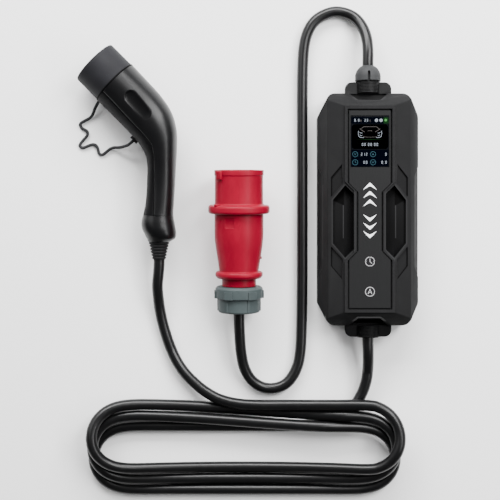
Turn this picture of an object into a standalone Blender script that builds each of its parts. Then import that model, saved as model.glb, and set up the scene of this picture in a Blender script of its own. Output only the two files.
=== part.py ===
"""Portable EV charger: control box, five-pin supply plug, vehicle connector with dust cap, and cable.

Everything lies flat on the plane z = 0. X is to the right, Y towards the supply side of the control
box, Z up from the surface. The origin is the centre of the control box's back face. Metres.
"""
import math

import bmesh
import bpy
from mathutils import Matrix, Vector

# Clearances, and how far a cutter reaches past a face or a joined form sinks into its neighbour
GAP = 0.0003
SLIDE = 0.0004
OVERSHOOT = 0.005
SINK = 0.001

# Control box: case
BOX_WIDTH = 0.120
BOX_LENGTH = 0.277
SPLIT_HEIGHT = 0.024
GASKET_THICKNESS = 0.001
GASKET_WIDTH = 0.0016
CROWN_HEIGHT = 0.052
CROWN_HALF_WIDTH = BOX_WIDTH * 0.25
SHOULDER_HALF_WIDTH = BOX_WIDTH * 0.4083
SHOULDER_HEIGHT = CROWN_HEIGHT - 0.008
SIDE_FACET_BASE = SPLIT_HEIGHT + 0.005
END_FACET_BASE = SPLIT_HEIGHT + 0.010
END_FACET_LENGTH = 0.016
CORNER_CUT_X = 0.0136
CORNER_CUT_Y = 0.0265
CORNER_RADIUS = 0.009
SIDE_CORNER_RADIUS = 0.010
LEAST_CORNER_RADIUS = 0.002
CASE_WALL = 0.0026
BACK_EDGE_RADIUS = 0.004
CASE_EDGE_RADIUS = 0.0007

# Control box: raised rail, front panel and the relief beside it
RAIL_HEIGHT = 0.0022
RAIL_WIDTH = 0.0038
PANEL_HALF_WIDTH = CROWN_HALF_WIDTH - RAIL_WIDTH - 0.0002
PANEL_WAIST_HALF_WIDTH = PANEL_HALF_WIDTH * 0.588
PANEL_GROOVE = 0.0016
PANEL_TOP = BOX_LENGTH / 2 - 0.0210
PANEL_BOTTOM = -BOX_LENGTH / 2 + 0.0200
PANEL_THICKNESS = 0.0020
PANEL_DEPTH = 0.0036
RELIEF_CENTRE_Y = -BOX_LENGTH * 0.05415
WAIST_SHORT = 0.0350
WAIST_LONG = 0.0457
RECESS_TIP_X = PANEL_HALF_WIDTH + 0.0030
RECESS_TIP_Y = 0.0428
RECESS_OUTER_X = SHOULDER_HALF_WIDTH - 0.0059
RECESS_OUTER_Y = 0.0256
RECESS_INNER_X = PANEL_WAIST_HALF_WIDTH + 0.0034
RECESS_INNER_Y = 0.0327
RECESS_FLOOR = CROWN_HEIGHT - 0.0098
RECESS_RIDGE = RECESS_FLOOR + 0.0046
RECESS_RIDGE_X = (RECESS_INNER_X + RECESS_OUTER_X) / 2
RECESS_RIDGE_Y = 0.0195
WING_DEPTH = 0.0020
WING_OUTER_X = SHOULDER_HALF_WIDTH - 0.0041
WING_OUTLINE = ((CROWN_HALF_WIDTH + 0.0030, 0.0668), (WING_OUTER_X, 0.0524), (WING_OUTER_X, 0.0297),
                (CROWN_HALF_WIDTH + 0.0018, 0.0448))
GRIP_INNER_X = BOX_WIDTH / 2 - 0.0052
GRIP_OUTER_X = BOX_WIDTH / 2 - 0.0008
GRIP_HALF_LENGTH = 0.0540
GRIP_RUN_OUT = 0.0120

# Control box: display, light guide and touch electrodes
LENS_WIDTH = 2 * PANEL_HALF_WIDTH - 0.0070
LENS_HEIGHT = BOX_LENGTH * 0.2180
LENS_CENTRE_Y = BOX_LENGTH * 0.2870
LENS_THICKNESS = 0.0014
DISPLAY_THICKNESS = 0.0052
ARROW_WIDTH = PANEL_WAIST_HALF_WIDTH * 1.046
ARROW_RISE = 0.0084
ARROW_THICKNESS = 0.0040
ARROW_PITCH = BOX_LENGTH * 0.0354
ARROWS_PER_GROUP = 3
ARROW_UP_TIP_Y = BOX_LENGTH * 0.1112
ARROW_DOWN_TIP_Y = -BOX_LENGTH * 0.1245
GUIDE_BASE_THICKNESS = 0.0018
GUIDE_MARGIN = 0.0012
TOUCH_TIMER_Y = -BOX_LENGTH * 0.2242
TOUCH_CURRENT_Y = -BOX_LENGTH * 0.3523
TOUCH_RADIUS = 0.0045
FRONT_WALL = 0.0025
ROOM_INSET = 0.0015
LENS_LEDGE = 0.0015
ARROW_SHOULDER = 0.50
ARROW_SHOULDER_DROP = 0.45
ARROW_INNER = 0.35
ARROW_INNER_DROP = 0.0011

# Control box: boards and what they carry
BOARD_THICKNESS = 0.0016
BOSS_HEIGHT = 0.0055
BOSS_RADIUS = 0.0045
BOARD_WIDTH = BOX_WIDTH - 0.0240
BOARD_LENGTH = BOX_LENGTH - 0.0690
SCREW_X = BOARD_WIDTH / 2 - 0.0080
SCREW_Y = BOARD_LENGTH / 2 - 0.0080
SCREW_RADIUS = 0.0015
SCREW_HEAD_RADIUS = 0.0029
SCREW_HEAD_HEIGHT = 0.0022
SCREW_SINK = 0.0030
SCREW_SOCKET = 0.0020
SCREW_SOCKET_DEPTH = 0.0012
SCREW_HEAD_EDGE = 0.0005
SOLDER_GAP = 0.0003
RELAY_X = 0.0195
RELAY_Y = -BOARD_LENGTH * 0.2163
RELAY_WIDTH = 0.0300
RELAY_LENGTH = BOARD_LENGTH * 0.1635
RELAY_HEIGHT = 0.0205
PART_EDGE = 0.0012
SENSOR_X = BOARD_WIDTH * 0.2083
SENSOR_OUTER = 0.0150
SENSOR_INNER = 0.0085
SENSOR_HEIGHT = 0.0130
SENSOR_EDGE = 0.0010
CONVERTER_X = -BOARD_WIDTH * 0.2188
CONVERTER_WIDTH = 0.0260
CONVERTER_LENGTH = BOARD_LENGTH * 0.1346
CONVERTER_HEIGHT = 0.0180
CAPACITOR_X = CONVERTER_X
CAPACITOR_Y = BOARD_LENGTH * 0.1635
CAPACITOR_RADIUS = 0.0080
CAPACITOR_HEIGHT = 0.0205
SUPPLY_TERMINALS_Y = BOARD_LENGTH / 2 - 0.0260
OUTPUT_TERMINALS_Y = -BOARD_LENGTH / 2 + 0.0120
TERMINAL_WAYS = 5
TERMINAL_PITCH = 0.0095
TERMINAL_DEPTH = 0.0140
TERMINAL_HEIGHT = 0.0160
TERMINAL_GROOVE = 0.0030
TERMINAL_RIB = 0.0020

# Gland blocks and the dome
GLAND_AXIS_HEIGHT = 0.0270
EAR_HALF_WIDTH = 0.0277
EAR_THICKNESS = 0.0080
EAR_LENGTH = 0.0137
EAR_CORNER_RADIUS = 0.0080
EAR_EDGE = 0.0008
EAR_DEPTH_IN_CASE = 0.0068
BARREL_RADIUS = 0.0134
BARREL_EDGE = 0.0008
BARREL_SIDES = 28
NOTCH_HALF_WIDTH = 0.0128
NOTCH_LENGTH = 0.0092
NOTCH_FLARE = 0.0108
NOTCH_LEDGE = 0.0024
NOTCH_LEDGE_HEIGHT = CROWN_HEIGHT - 0.0072
DOME_RADIUS = 0.0154
DOME_BASE_LENGTH = 0.0052
DOME_SLOT_WIDTH = 0.0030
DOME_SLOT_DEPTH = 0.0045
DOME_SLOT_LENGTH = 0.0115
DOME_SLOT_START = 0.0015
SLOT_END_FLAT = 0.0001

# Cable
CABLE_DIAMETER = 0.0134
CABLE_POINT_STEP = 0.0268

# Vehicle connector. Stations run from the head's rim to the cable end: the outer edge and the
# inner edge of the moulding in plan, and its half thickness.
CONNECTOR_RIM = Vector((-0.3025, 0.1512))
HEAD_RADIUS = 0.0297
CONNECTOR_LEAN = math.radians(1.8)
HANDLE_STATIONS = (
    ((-0.2813, 0.1720), (-0.3233, 0.1300), 0.0297),
    ((-0.2640, 0.1537), (-0.3058, 0.1124), 0.0294),
    ((-0.2478, 0.1358), (-0.2885, 0.0950), 0.0286),
    ((-0.2352, 0.1165), (-0.2747, 0.0795), 0.0272),
    ((-0.2291, 0.0950), (-0.2665, 0.0650), 0.0250),
    ((-0.2287, 0.0735), (-0.2643, 0.0520), 0.0228),
    ((-0.2299, 0.0520), (-0.2646, 0.0370), 0.0206),
    ((-0.2311, 0.0310), (-0.2652, 0.0230), 0.0196),
    ((-0.2324, 0.0100), (-0.2664, 0.0085), 0.0194),
    ((-0.2333, -0.0060), (-0.2690, -0.0045), 0.0198),
    ((-0.2318, -0.0165), (-0.2716, -0.0155), 0.0208),
    ((-0.2300, -0.0270), (-0.2706, -0.0235), 0.0210),
    ((-0.2312, -0.0345), (-0.2672, -0.0305), 0.0192),
    ((-0.2380, -0.0390), (-0.2630, -0.0390), 0.0145),
)
HANDLE_RINGS = 28
HANDLE_SIDES = 24
HANDLE_SQUARENESS = 2.25
STRIP_SEAM = ((-0.3145, 0.1385), (-0.2860, 0.1080), (-0.2660, 0.0870), (-0.2578, 0.0765),
              (-0.2556, 0.0650), (-0.2553, 0.0450), (-0.2557, 0.0200), (-0.2561, -0.0073))
STRIP_START = 0.0040
CUT_REACH = 0.0500
STRIP_CUT_REACH = 0.0450
STRIP_CUT_END_Y = -0.0900
THUMB_START = Vector((-0.2805, 0.1320))
THUMB_END = Vector((-0.2645, 0.1131))
THUMB_RADIUS = 0.0078
THUMB_DEPTH = 0.0034
SOCKET_RADIUS = 0.0260
SOCKET_DEPTH = 0.0300
CARRIER_RADIUS = 0.0256
CARRIER_REACH = 0.0290
CARRIER_FLAT = 0.0205
CONTACT_HOLE_RADIUS = 0.0034
CONTACT_RADIUS = 0.0030
CONTACT_BORE = 0.0017
CONTACT_LENGTH = 0.0260
CONTACT_INSET = 0.0020
CONTACT_FLOOR = 0.0040
CONTACT_ROW_SPACING = 0.0140
CONTACT_ROW_HEIGHT = 0.0025
CONTACT_PAIR_X = 0.0087
CONTACT_PAIR_HEIGHT = -0.0115
SIGNAL_CONTACT_X = 0.0062
SIGNAL_CONTACT_HEIGHT = 0.0131
CAP_RADIUS = 0.0291
CAP_LENGTH = 0.0355
CAP_WALL = 0.0024
CAP_END_WALL = 0.0030
CAP_END_RADIUS = 0.0030
CAP_EDGE = 0.0006
CAP_CROWN = 0.0006
RELIEF_LENGTH = 0.0212
RELIEF_START_RADIUS = 0.0124
RELIEF_END_RADIUS = 0.0079
RELIEF_RINGS = 6
RELIEF_GROOVE = 0.0012
ANCHOR_SIZE = (0.0036, 0.0098, 0.0060)
ANCHOR_HEIGHT = 0.0200
ANCHOR_CENTRE = Vector((-0.2806, 0.0843))
ANCHOR_TURN = math.radians(42)

# Supply plug, turned about its own axis. It rests on its flange and its nut, so the mouth points
# slightly up. Lengths are from the flange's middle.
PLUG_X = -0.1544
FLANGE_RADIUS = 0.0367
FLANGE_LENGTH = 0.0100
FLANGE_EDGE = 0.0018
SLEEVE_RADIUS = 0.0287
SLEEVE_LENGTH = 0.0416
SLEEVE_WALL = 0.0028
RIM_BAND_HEIGHT = 0.0007
RIM_BAND_LENGTH = 0.0066
RIM_EDGE = 0.0008
KEY_WIDTH = 0.0080
KEY_HEIGHT = 0.0030
KEY_LENGTH = 0.0110
KEY_SET_BACK = 0.0012
KEY_ANGLE = math.radians(50)
INSERT_FRONT = 0.0030
INSERT_LENGTH = 0.0160
INSERT_EDGE = 0.0006
PIN_SEAT = 0.0030
PIN_TIP_TAPER = 0.0015
PIN_RING_RADIUS = 0.0165
PIN_RADIUS = 0.0025
EARTH_PIN_RADIUS = 0.0030
PIN_REACH = 0.0370
PIN_COUNT = 5
BODY_RADIUS = 0.0292
BODY_STRAIGHT = 0.0316
BODY_TAPER_LENGTH = 0.0375
BODY_TAPER_RADIUS = 0.0233
BODY_WALL = 0.0032
LIP_RADIUS = 0.0283
LIP_LENGTH = 0.0077
LIP_EDGE = 0.0010
NECK_RADIUS = 0.0204
NECK_LENGTH = 0.0096
NUT_COLLAR_RADIUS = 0.0284
NUT_COLLAR_LENGTH = 0.0139
NUT_RADIUS = 0.0250
NUT_LENGTH = 0.0173
NUT_EDGE = 0.0016
NUT_RIDGES = 12
NUT_RIDGE_WIDTH = 0.0026
NUT_RIDGE_HEIGHT = 0.0010
SEAL_RADIUS = 0.0112
SEAL_EDGE = 0.0012

# Cable routes, chosen by hand. Each starts and ends with a short straight stretch on the axis of
# what it meets.
SUPPLY_ROUTE = (
    (0.0000, 0.1726, 0.0270), (0.0000, 0.1776, 0.0270), (0.0002, 0.1890, 0.0258),
    (-0.0006, 0.2040, 0.0215), (-0.0045, 0.2190, 0.0150), (-0.0130, 0.2320, 0.0095),
    (-0.0250, 0.2400, 0.0072),
    (-0.0390, 0.2420, 0.0070), (-0.0530, 0.2372, 0.0070), (-0.0640, 0.2280, 0.0070),
    (-0.0715, 0.2150, 0.0070), (-0.0755, 0.1990, 0.0070), (-0.0772, 0.1750, 0.0070),
    (-0.0778, 0.1300, 0.0070), (-0.0778, 0.0600, 0.0070), (-0.0778, -0.0100, 0.0070),
    (-0.0779, -0.0800, 0.0070), (-0.0786, -0.1350, 0.0070), (-0.0802, -0.1720, 0.0070),
    (-0.0850, -0.1930, 0.0070), (-0.0955, -0.2090, 0.0070), (-0.1100, -0.2160, 0.0072),
    (-0.1260, -0.2150, 0.0080), (-0.1395, -0.2060, 0.0102), (-0.1480, -0.1910, 0.0142),
    (-0.1520, -0.1720, 0.0192), (-0.1537, -0.1500, 0.0238), (-0.1544, -0.1285, 0.0267),
    (-0.1544, -0.1231, 0.0271),
)
BOX_END_ROUTE = (
    (0.0000, -0.1533, 0.0270), (0.0000, -0.1583, 0.0270), (0.0003, -0.1700, 0.0256),
    (0.0002, -0.1830, 0.0215),
    (-0.0005, -0.1970, 0.0150), (-0.0022, -0.2110, 0.0095), (-0.0040, -0.2225, 0.0071),
    (-0.0040, -0.2276, 0.0070),
)
CONNECTOR_END_ROUTE = (
    (-0.2505, -0.0609, 0.0233), (-0.2505, -0.0659, 0.0231), (-0.2515, -0.0780, 0.0218),
    (-0.2528, -0.0920, 0.0190),
    (-0.2520, -0.1080, 0.0130), (-0.2500, -0.1240, 0.0085), (-0.2465, -0.1400, 0.0070),
    (-0.2420, -0.1550, 0.0070), (-0.2365, -0.1700, 0.0070), (-0.2290, -0.1850, 0.0070),
    (-0.2200, -0.1990, 0.0075), (-0.2105, -0.2090, 0.0090), (-0.2035, -0.2195, 0.0105),
    (-0.2035, -0.2266, 0.0105),
)
TETHER_DIAMETER = 0.0038
TETHER_POINT_STEP = 0.0060
TETHER_ROUTE = (
    (-0.3217, 0.1346, 0.0141), (-0.3233, 0.1330, 0.0127), (-0.3290, 0.1245, 0.0070),
    (-0.3342, 0.1140, 0.0028),
    (-0.3420, 0.1092, 0.0021), (-0.3485, 0.1050, 0.0021), (-0.3460, 0.0996, 0.0021),
    (-0.3395, 0.0962, 0.0021), (-0.3392, 0.0915, 0.0021), (-0.3450, 0.0845, 0.0021),
    (-0.3497, 0.0785, 0.0021), (-0.3450, 0.0756, 0.0021), (-0.3370, 0.0790, 0.0021),
    (-0.3300, 0.0800, 0.0021), (-0.3266, 0.0750, 0.0021), (-0.3255, 0.0685, 0.0021),
    (-0.3210, 0.0672, 0.0021), (-0.3150, 0.0720, 0.0024), (-0.3085, 0.0758, 0.0040),
    (-0.2985, 0.0758, 0.0095), (-0.2890, 0.0778, 0.0170), (-0.2848, 0.0806, 0.0198),
    (-0.2825, 0.0826, 0.0200),
)

# Coil: three flat turns, each lower one laid nearer the bottom
COIL_CENTRE_X = -0.1480
COIL_HALF_LENGTH = 0.1930
COIL_TOP = -0.2270
COIL_BOTTOM = -0.3465
COIL_BAND = 0.0418
COIL_END_HEIGHT = 0.0420
COIL_MIDDLE_HEIGHT = 0.0145
COIL_END_SHARE = 0.45
COIL_STATIONS = 48

# Heights that follow from the sizes above
FRONT_BASE = SPLIT_HEIGHT + GASKET_THICKNESS + 2 * GAP
RAIL_TOP = CROWN_HEIGHT + RAIL_HEIGHT
POCKET_FLOOR = RAIL_TOP - PANEL_DEPTH
PANEL_BASE = POCKET_FLOOR + GAP
PANEL_FACE = PANEL_BASE + PANEL_THICKNESS
BOARD_BASE = CASE_WALL + BOSS_HEIGHT + GAP
BOARD_FACE = BOARD_BASE + BOARD_THICKNESS
SEAT_ON_BOARD = BOARD_FACE + SOLDER_GAP
HEAD_AXIS_HEIGHT = HEAD_RADIUS + GAP
PLUG_REST_RUN = BODY_STRAIGHT + BODY_TAPER_LENGTH + LIP_LENGTH + NECK_LENGTH + NUT_COLLAR_LENGTH
PLUG_TILT = math.atan((FLANGE_RADIUS - NUT_COLLAR_RADIUS) / PLUG_REST_RUN)
PLUG_AXIS_HEIGHT = FLANGE_RADIUS * math.cos(PLUG_TILT) + FLANGE_LENGTH / 2 * math.sin(PLUG_TILT) + GAP
CASE_END = BOX_LENGTH / 2
EAR_END = CASE_END + EAR_LENGTH


def remove_everything():
    for item in list(bpy.data.objects):
        bpy.data.objects.remove(item, do_unlink=True)


def material(name, colour, roughness, metallic=0.0):
    made = bpy.data.materials.new(name)
    made.use_nodes = True
    shader = made.node_tree.nodes["Principled BSDF"]
    shader.inputs["Base Color"].default_value = (*colour, 1.0)
    shader.inputs["Roughness"].default_value = roughness
    shader.inputs["Metallic"].default_value = metallic
    return made


def make_materials():
    return {
        "case": material("case_plastic", (0.035, 0.036, 0.038), 0.42),
        "panel": material("panel_film", (0.022, 0.023, 0.025), 0.30),
        "lens": material("lens_clear", (0.010, 0.012, 0.020), 0.08),
        "guide": material("light_guide", (0.85, 0.86, 0.86), 0.35),
        "grey": material("grey_rubber", (0.17, 0.17, 0.17), 0.60),
        "rubber": material("black_rubber", (0.030, 0.030, 0.032), 0.55),
        "cable": material("cable_jacket", (0.012, 0.012, 0.013), 0.32),
        "handle": material("handle_plastic", (0.016, 0.016, 0.019), 0.30),
        "cap": material("cap_rubber", (0.050, 0.050, 0.054), 0.62),
        "red": material("red_plastic", (0.52, 0.012, 0.022), 0.38),
        "nut": material("nut_grey_plastic", (0.13, 0.16, 0.15), 0.48),
        "brass": material("nickel_contact", (0.62, 0.58, 0.50), 0.30, 1.0),
        "steel": material("screw_steel", (0.35, 0.35, 0.36), 0.35, 1.0),
        "board": material("board_green", (0.02, 0.12, 0.05), 0.50),
        "part": material("component_dark", (0.03, 0.03, 0.035), 0.45),
        "core": material("core_yellow", (0.55, 0.42, 0.08), 0.55),
    }


def empty(name, place, rotation=(0.0, 0.0, 0.0)):
    made = bpy.data.objects.new(name, None)
    made.location = place
    made.rotation_euler = rotation
    bpy.context.scene.collection.objects.link(made)
    return made


def add(name, bm, finish=None, parent=None, smooth=None, place=(0.0, 0.0, 0.0)):
    """Turns a bmesh into an object. smooth is the angle in degrees under which edges look round."""
    bmesh.ops.recalc_face_normals(bm, faces=bm.faces)
    mesh = bpy.data.meshes.new(name)
    bm.to_mesh(mesh)
    bm.free()
    if smooth is not None:
        mesh.shade_smooth()
        mesh.set_sharp_from_angle(angle=math.radians(smooth))
    if finish is not None:
        mesh.materials.append(finish)
    made = bpy.data.objects.new(name, mesh)
    made.location = place
    bpy.context.scene.collection.objects.link(made)
    if parent is not None:
        made.parent = parent
    return made


def cutter(name, bm, parent=None):
    made = add(name, bm, parent=parent)
    made.hide_render = True
    made.display_type = "WIRE"
    return made


def combine(target, other, operation="DIFFERENCE", overlapping=False):
    step = target.modifiers.new(other.name, "BOOLEAN")
    step.operation = operation
    step.solver = "EXACT"
    step.use_self = overlapping
    step.object = other
    return step


def add_prism(bm, outline, low, high):
    """Extrudes an XY outline. low and high are heights, or functions of x and y."""
    low_at = low if callable(low) else (lambda x, y: low)
    high_at = high if callable(high) else (lambda x, y: high)
    bottom = [bm.verts.new((x, y, low_at(x, y))) for x, y in outline]
    top = [bm.verts.new((x, y, high_at(x, y))) for x, y in outline]
    bm.faces.new(bottom)
    bm.faces.new(top)
    count = len(outline)
    for i in range(count):
        j = (i + 1) % count
        bm.faces.new((bottom[i], bottom[j], top[j], top[i]))
    return bm


def prism(outline, low, high):
    return add_prism(bmesh.new(), outline, low, high)


def rectangle(x_low, x_high, y_low, y_high):
    return [(x_low, y_low), (x_high, y_low), (x_high, y_high), (x_low, y_high)]


def block(x_low, x_high, y_low, y_high, z_low, z_high):
    return prism(rectangle(x_low, x_high, y_low, y_high), z_low, z_high)


def rounded(corners, radii, steps=5):
    """Rounds the corners of a polygon, each by its own radius."""
    outline = []
    count = len(corners)
    for i, radius in enumerate(radii):
        corner = Vector(corners[i])
        if radius <= 0:
            outline.append(tuple(corner))
            continue
        before = (Vector(corners[i - 1]) - corner).normalized()
        after = (Vector(corners[(i + 1) % count]) - corner).normalized()
        half = before.angle(after) / 2
        start = corner + before * (radius / math.tan(half))
        end = corner + after * (radius / math.tan(half))
        centre = corner + (before + after).normalized() * (radius / math.sin(half))
        sweep_start = start - centre
        turn = sweep_start.angle_signed(end - centre)
        for k in range(steps + 1):
            outline.append(tuple(centre + Matrix.Rotation(-turn * k / steps, 2) @ sweep_start))
    return outline


def grown(outline, margin):
    """Moves every side of a polygon outwards by a margin."""
    count = len(outline)
    area = sum(outline[i - 1][0] * outline[i][1] - outline[i][0] * outline[i - 1][1] for i in range(count))
    moved = []
    for i in range(count):
        corner = Vector(outline[i])
        before = (corner - Vector(outline[i - 1])).normalized()
        after = (Vector(outline[(i + 1) % count]) - corner).normalized()
        sign = 1 if area > 0 else -1
        normal = sign * Vector((before.y, -before.x))
        other = sign * Vector((after.y, -after.x))
        moved.append(tuple(corner + (normal + other) * margin / max(0.35, 1 + normal.dot(other))))
    return moved


def circle(radius, count, centre=(0.0, 0.0), start=0.0):
    return [(centre[0] + radius * math.cos(start + 2 * math.pi * k / count),
             centre[1] + radius * math.sin(start + 2 * math.pi * k / count)) for k in range(count)]


def add_turned(bm, profile, sides, start=0.0):
    """Turns a closed (radius, height) profile about Z. Points on the axis have radius 0."""
    rings = []
    for radius, height in profile:
        if radius == 0:
            rings.append([bm.verts.new((0, 0, height))])
        else:
            rings.append([bm.verts.new((x, y, height)) for x, y in circle(radius, sides, start=start)])
    for ring, other in zip(rings, rings[1:] + rings[:1]):
        if len(ring) == 1 and len(other) == 1:
            continue
        for k in range(sides):
            n = (k + 1) % sides
            corners = [ring[k % len(ring)], ring[n % len(ring)], other[n % len(other)], other[k % len(other)]]
            unique = list(dict.fromkeys(corners))
            bm.faces.new(unique)
    return bm


def turned(profile, sides, start=0.0):
    return add_turned(bmesh.new(), profile, sides, start)


def along_y(bm, x=0.0, z=0.0, y=0.0, flip=False):
    """Lays a shape turned about Z along Y: its height becomes Y, or minus Y where flip is set."""
    turn = math.radians(90 if flip else -90)
    bm.transform(Matrix.Translation((x, y, z)) @ Matrix.Rotation(turn, 4, "X"))
    return bm


def add_loft(bm, rings):
    """Skins closed rings of equal count and caps both ends."""
    rows = [[bm.verts.new(point) for point in ring] for ring in rings]
    for row, following in zip(rows, rows[1:]):
        count = len(row)
        for k in range(count):
            n = (k + 1) % count
            bm.faces.new((row[k], row[n], following[n], following[k]))
    bm.faces.new(rows[0])
    bm.faces.new(rows[-1])
    return bm


def cut_by_plane(bm, point, normal):
    """Keeps what lies behind the plane and closes the cut."""
    geometry = bm.verts[:] + bm.edges[:] + bm.faces[:]
    cut = bmesh.ops.bisect_plane(bm, geom=geometry, plane_co=point, plane_no=normal, clear_outer=True,
                                 dist=1e-7)
    rim = [item for item in cut["geom_cut"] if isinstance(item, bmesh.types.BMEdge)]
    bmesh.ops.edgeloop_fill(bm, edges=rim)


def spline_point(before, start, end, after, share):
    square = share * share
    cube = square * share
    return 0.5 * (2 * start + (end - before) * share + (2 * before - 5 * start + 4 * end - after) * square
                  + (3 * start - before - 3 * end + after) * cube)


def smooth_path(points, step):
    """Reads evenly spaced points from the smooth curve through the given ones."""
    knots = [Vector(point) for point in points]
    knots = [2 * knots[0] - knots[1]] + knots + [2 * knots[-1] - knots[-2]]
    fine = []
    for i in range(1, len(knots) - 2):
        for k in range(20):
            fine.append(spline_point(knots[i - 1], knots[i], knots[i + 1], knots[i + 2], k / 20))
    fine.append(knots[-2])
    lengths = [0.0]
    for start, end in zip(fine, fine[1:]):
        lengths.append(lengths[-1] + (end - start).length)
    count = max(2, round(lengths[-1] / step))
    path = []
    k = 0
    for i in range(count + 1):
        wanted = lengths[-1] * i / count
        while k < len(fine) - 2 and lengths[k + 1] < wanted:
            k += 1
        share = (wanted - lengths[k]) / (lengths[k + 1] - lengths[k])
        path.append(fine[k].lerp(fine[k + 1], min(1.0, share)))
    return path


def cord(name, points, diameter, step, finish, sides=2):
    curve = bpy.data.curves.new(name, "CURVE")
    curve.dimensions = "3D"
    curve.bevel_depth = diameter / 2
    curve.bevel_resolution = sides
    curve.use_fill_caps = True
    path = [points[0]] + smooth_path(points[1:-1], step) + [points[-1]]
    spline = curve.splines.new("POLY")
    spline.points.add(len(path) - 1)
    for point, place in zip(spline.points, path):
        point.co = (*place, 1.0)
    curve.materials.append(finish)
    made = bpy.data.objects.new(name, curve)
    bpy.context.scene.collection.objects.link(made)
    return made


# Control box

def case_outline(inset=0.0):
    """The case in plan: a long panel with cut, softened corners."""
    half_width = BOX_WIDTH / 2 - inset
    half_length = CASE_END - inset
    side_y = half_length - CORNER_CUT_Y + inset / 4
    end_x = half_width - CORNER_CUT_X + inset / 4
    corners = [(half_width, -side_y), (half_width, side_y), (end_x, half_length), (-end_x, half_length),
               (-half_width, side_y), (-half_width, -side_y), (-end_x, -half_length), (end_x, -half_length)]
    side = SIDE_CORNER_RADIUS
    end = max(CORNER_RADIUS - inset, LEAST_CORNER_RADIUS)
    return rounded(corners, [side, side, end, end, side, side, end, end], 4)


def waisted_outline(half_width, half_waist, top, bottom, short, long):
    """A long panel that narrows beside the recesses."""
    side = [(half_width, bottom), (half_width, RELIEF_CENTRE_Y - long), (half_waist, RELIEF_CENTRE_Y - short),
            (half_waist, RELIEF_CENTRE_Y + short), (half_width, RELIEF_CENTRE_Y + long), (half_width, top)]
    return side + [(-x, y) for x, y in reversed(side)]


def panel_outline(margin=0.0):
    return waisted_outline(PANEL_HALF_WIDTH + margin, PANEL_WAIST_HALF_WIDTH + margin, PANEL_TOP + margin,
                           PANEL_BOTTOM - margin, WAIST_SHORT + margin * 0.4, WAIST_LONG + margin * 0.4)


def shoulder_height(x, y=0.0):
    slope = (CROWN_HEIGHT - SHOULDER_HEIGHT) / (SHOULDER_HALF_WIDTH - CROWN_HALF_WIDTH)
    return CROWN_HEIGHT - slope * (abs(x) - CROWN_HALF_WIDTH)


def side_facet_height(x, y=0.0):
    slope = (SHOULDER_HEIGHT - SIDE_FACET_BASE) / (BOX_WIDTH / 2 - SHOULDER_HALF_WIDTH)
    return SHOULDER_HEIGHT - slope * (abs(x) - SHOULDER_HALF_WIDTH)


def grip_height(x, y=0.0):
    """The steeper plane of the side grips: from the side facet down to the shells' seam."""
    top = side_facet_height(GRIP_INNER_X)
    slope = (top - FRONT_BASE) / (GRIP_OUTER_X - GRIP_INNER_X)
    return top - slope * (abs(x) - GRIP_INNER_X)


def front_form():
    """The faceted outer form of the front half: a prism trimmed by the facet planes."""
    bm = prism(case_outline(), FRONT_BASE, CROWN_HEIGHT)
    shoulder_run = SHOULDER_HALF_WIDTH - CROWN_HALF_WIDTH
    shoulder_drop = CROWN_HEIGHT - SHOULDER_HEIGHT
    facet_run = BOX_WIDTH / 2 - SHOULDER_HALF_WIDTH
    facet_drop = SHOULDER_HEIGHT - SIDE_FACET_BASE
    end_drop = CROWN_HEIGHT - END_FACET_BASE
    for side in (1, -1):
        cut_by_plane(bm, (side * CROWN_HALF_WIDTH, 0, CROWN_HEIGHT), (side * shoulder_drop, 0, shoulder_run))
        cut_by_plane(bm, (side * BOX_WIDTH / 2, 0, SIDE_FACET_BASE), (side * facet_drop, 0, facet_run))
        cut_by_plane(bm, (0, side * CASE_END, END_FACET_BASE), (0, side * end_drop, END_FACET_LENGTH))
    return bm


def recess_cutter(side):
    """A hexagonal pit whose floor is a hipped ridge."""
    rim = [(RECESS_TIP_X, RECESS_TIP_Y), (RECESS_OUTER_X, RECESS_OUTER_Y), (RECESS_OUTER_X, -RECESS_OUTER_Y),
           (RECESS_TIP_X, -RECESS_TIP_Y), (RECESS_INNER_X, -RECESS_INNER_Y), (RECESS_INNER_X, RECESS_INNER_Y)]
    bm = bmesh.new()
    high = RAIL_TOP + OVERSHOOT
    place = [(side * x, RELIEF_CENTRE_Y + y) for x, y in rim]
    top = [bm.verts.new((x, y, high)) for x, y in place]
    low = [bm.verts.new((x, y, RECESS_FLOOR)) for x, y in place]
    ridge = [bm.verts.new((side * RECESS_RIDGE_X, RELIEF_CENTRE_Y + y, RECESS_RIDGE))
             for y in (RECESS_RIDGE_Y, -RECESS_RIDGE_Y)]
    bm.faces.new(top)
    for i in range(6):
        j = (i + 1) % 6
        bm.faces.new((top[i], top[j], low[j], low[i]))
    bm.faces.new((low[0], low[1], ridge[0]))
    bm.faces.new((low[1], low[2], ridge[1], ridge[0]))
    bm.faces.new((low[2], low[3], ridge[1]))
    bm.faces.new((low[3], low[4], ridge[1]))
    bm.faces.new((low[4], low[5], ridge[0], ridge[1]))
    bm.faces.new((low[5], low[0], ridge[0]))
    return bm


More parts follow.
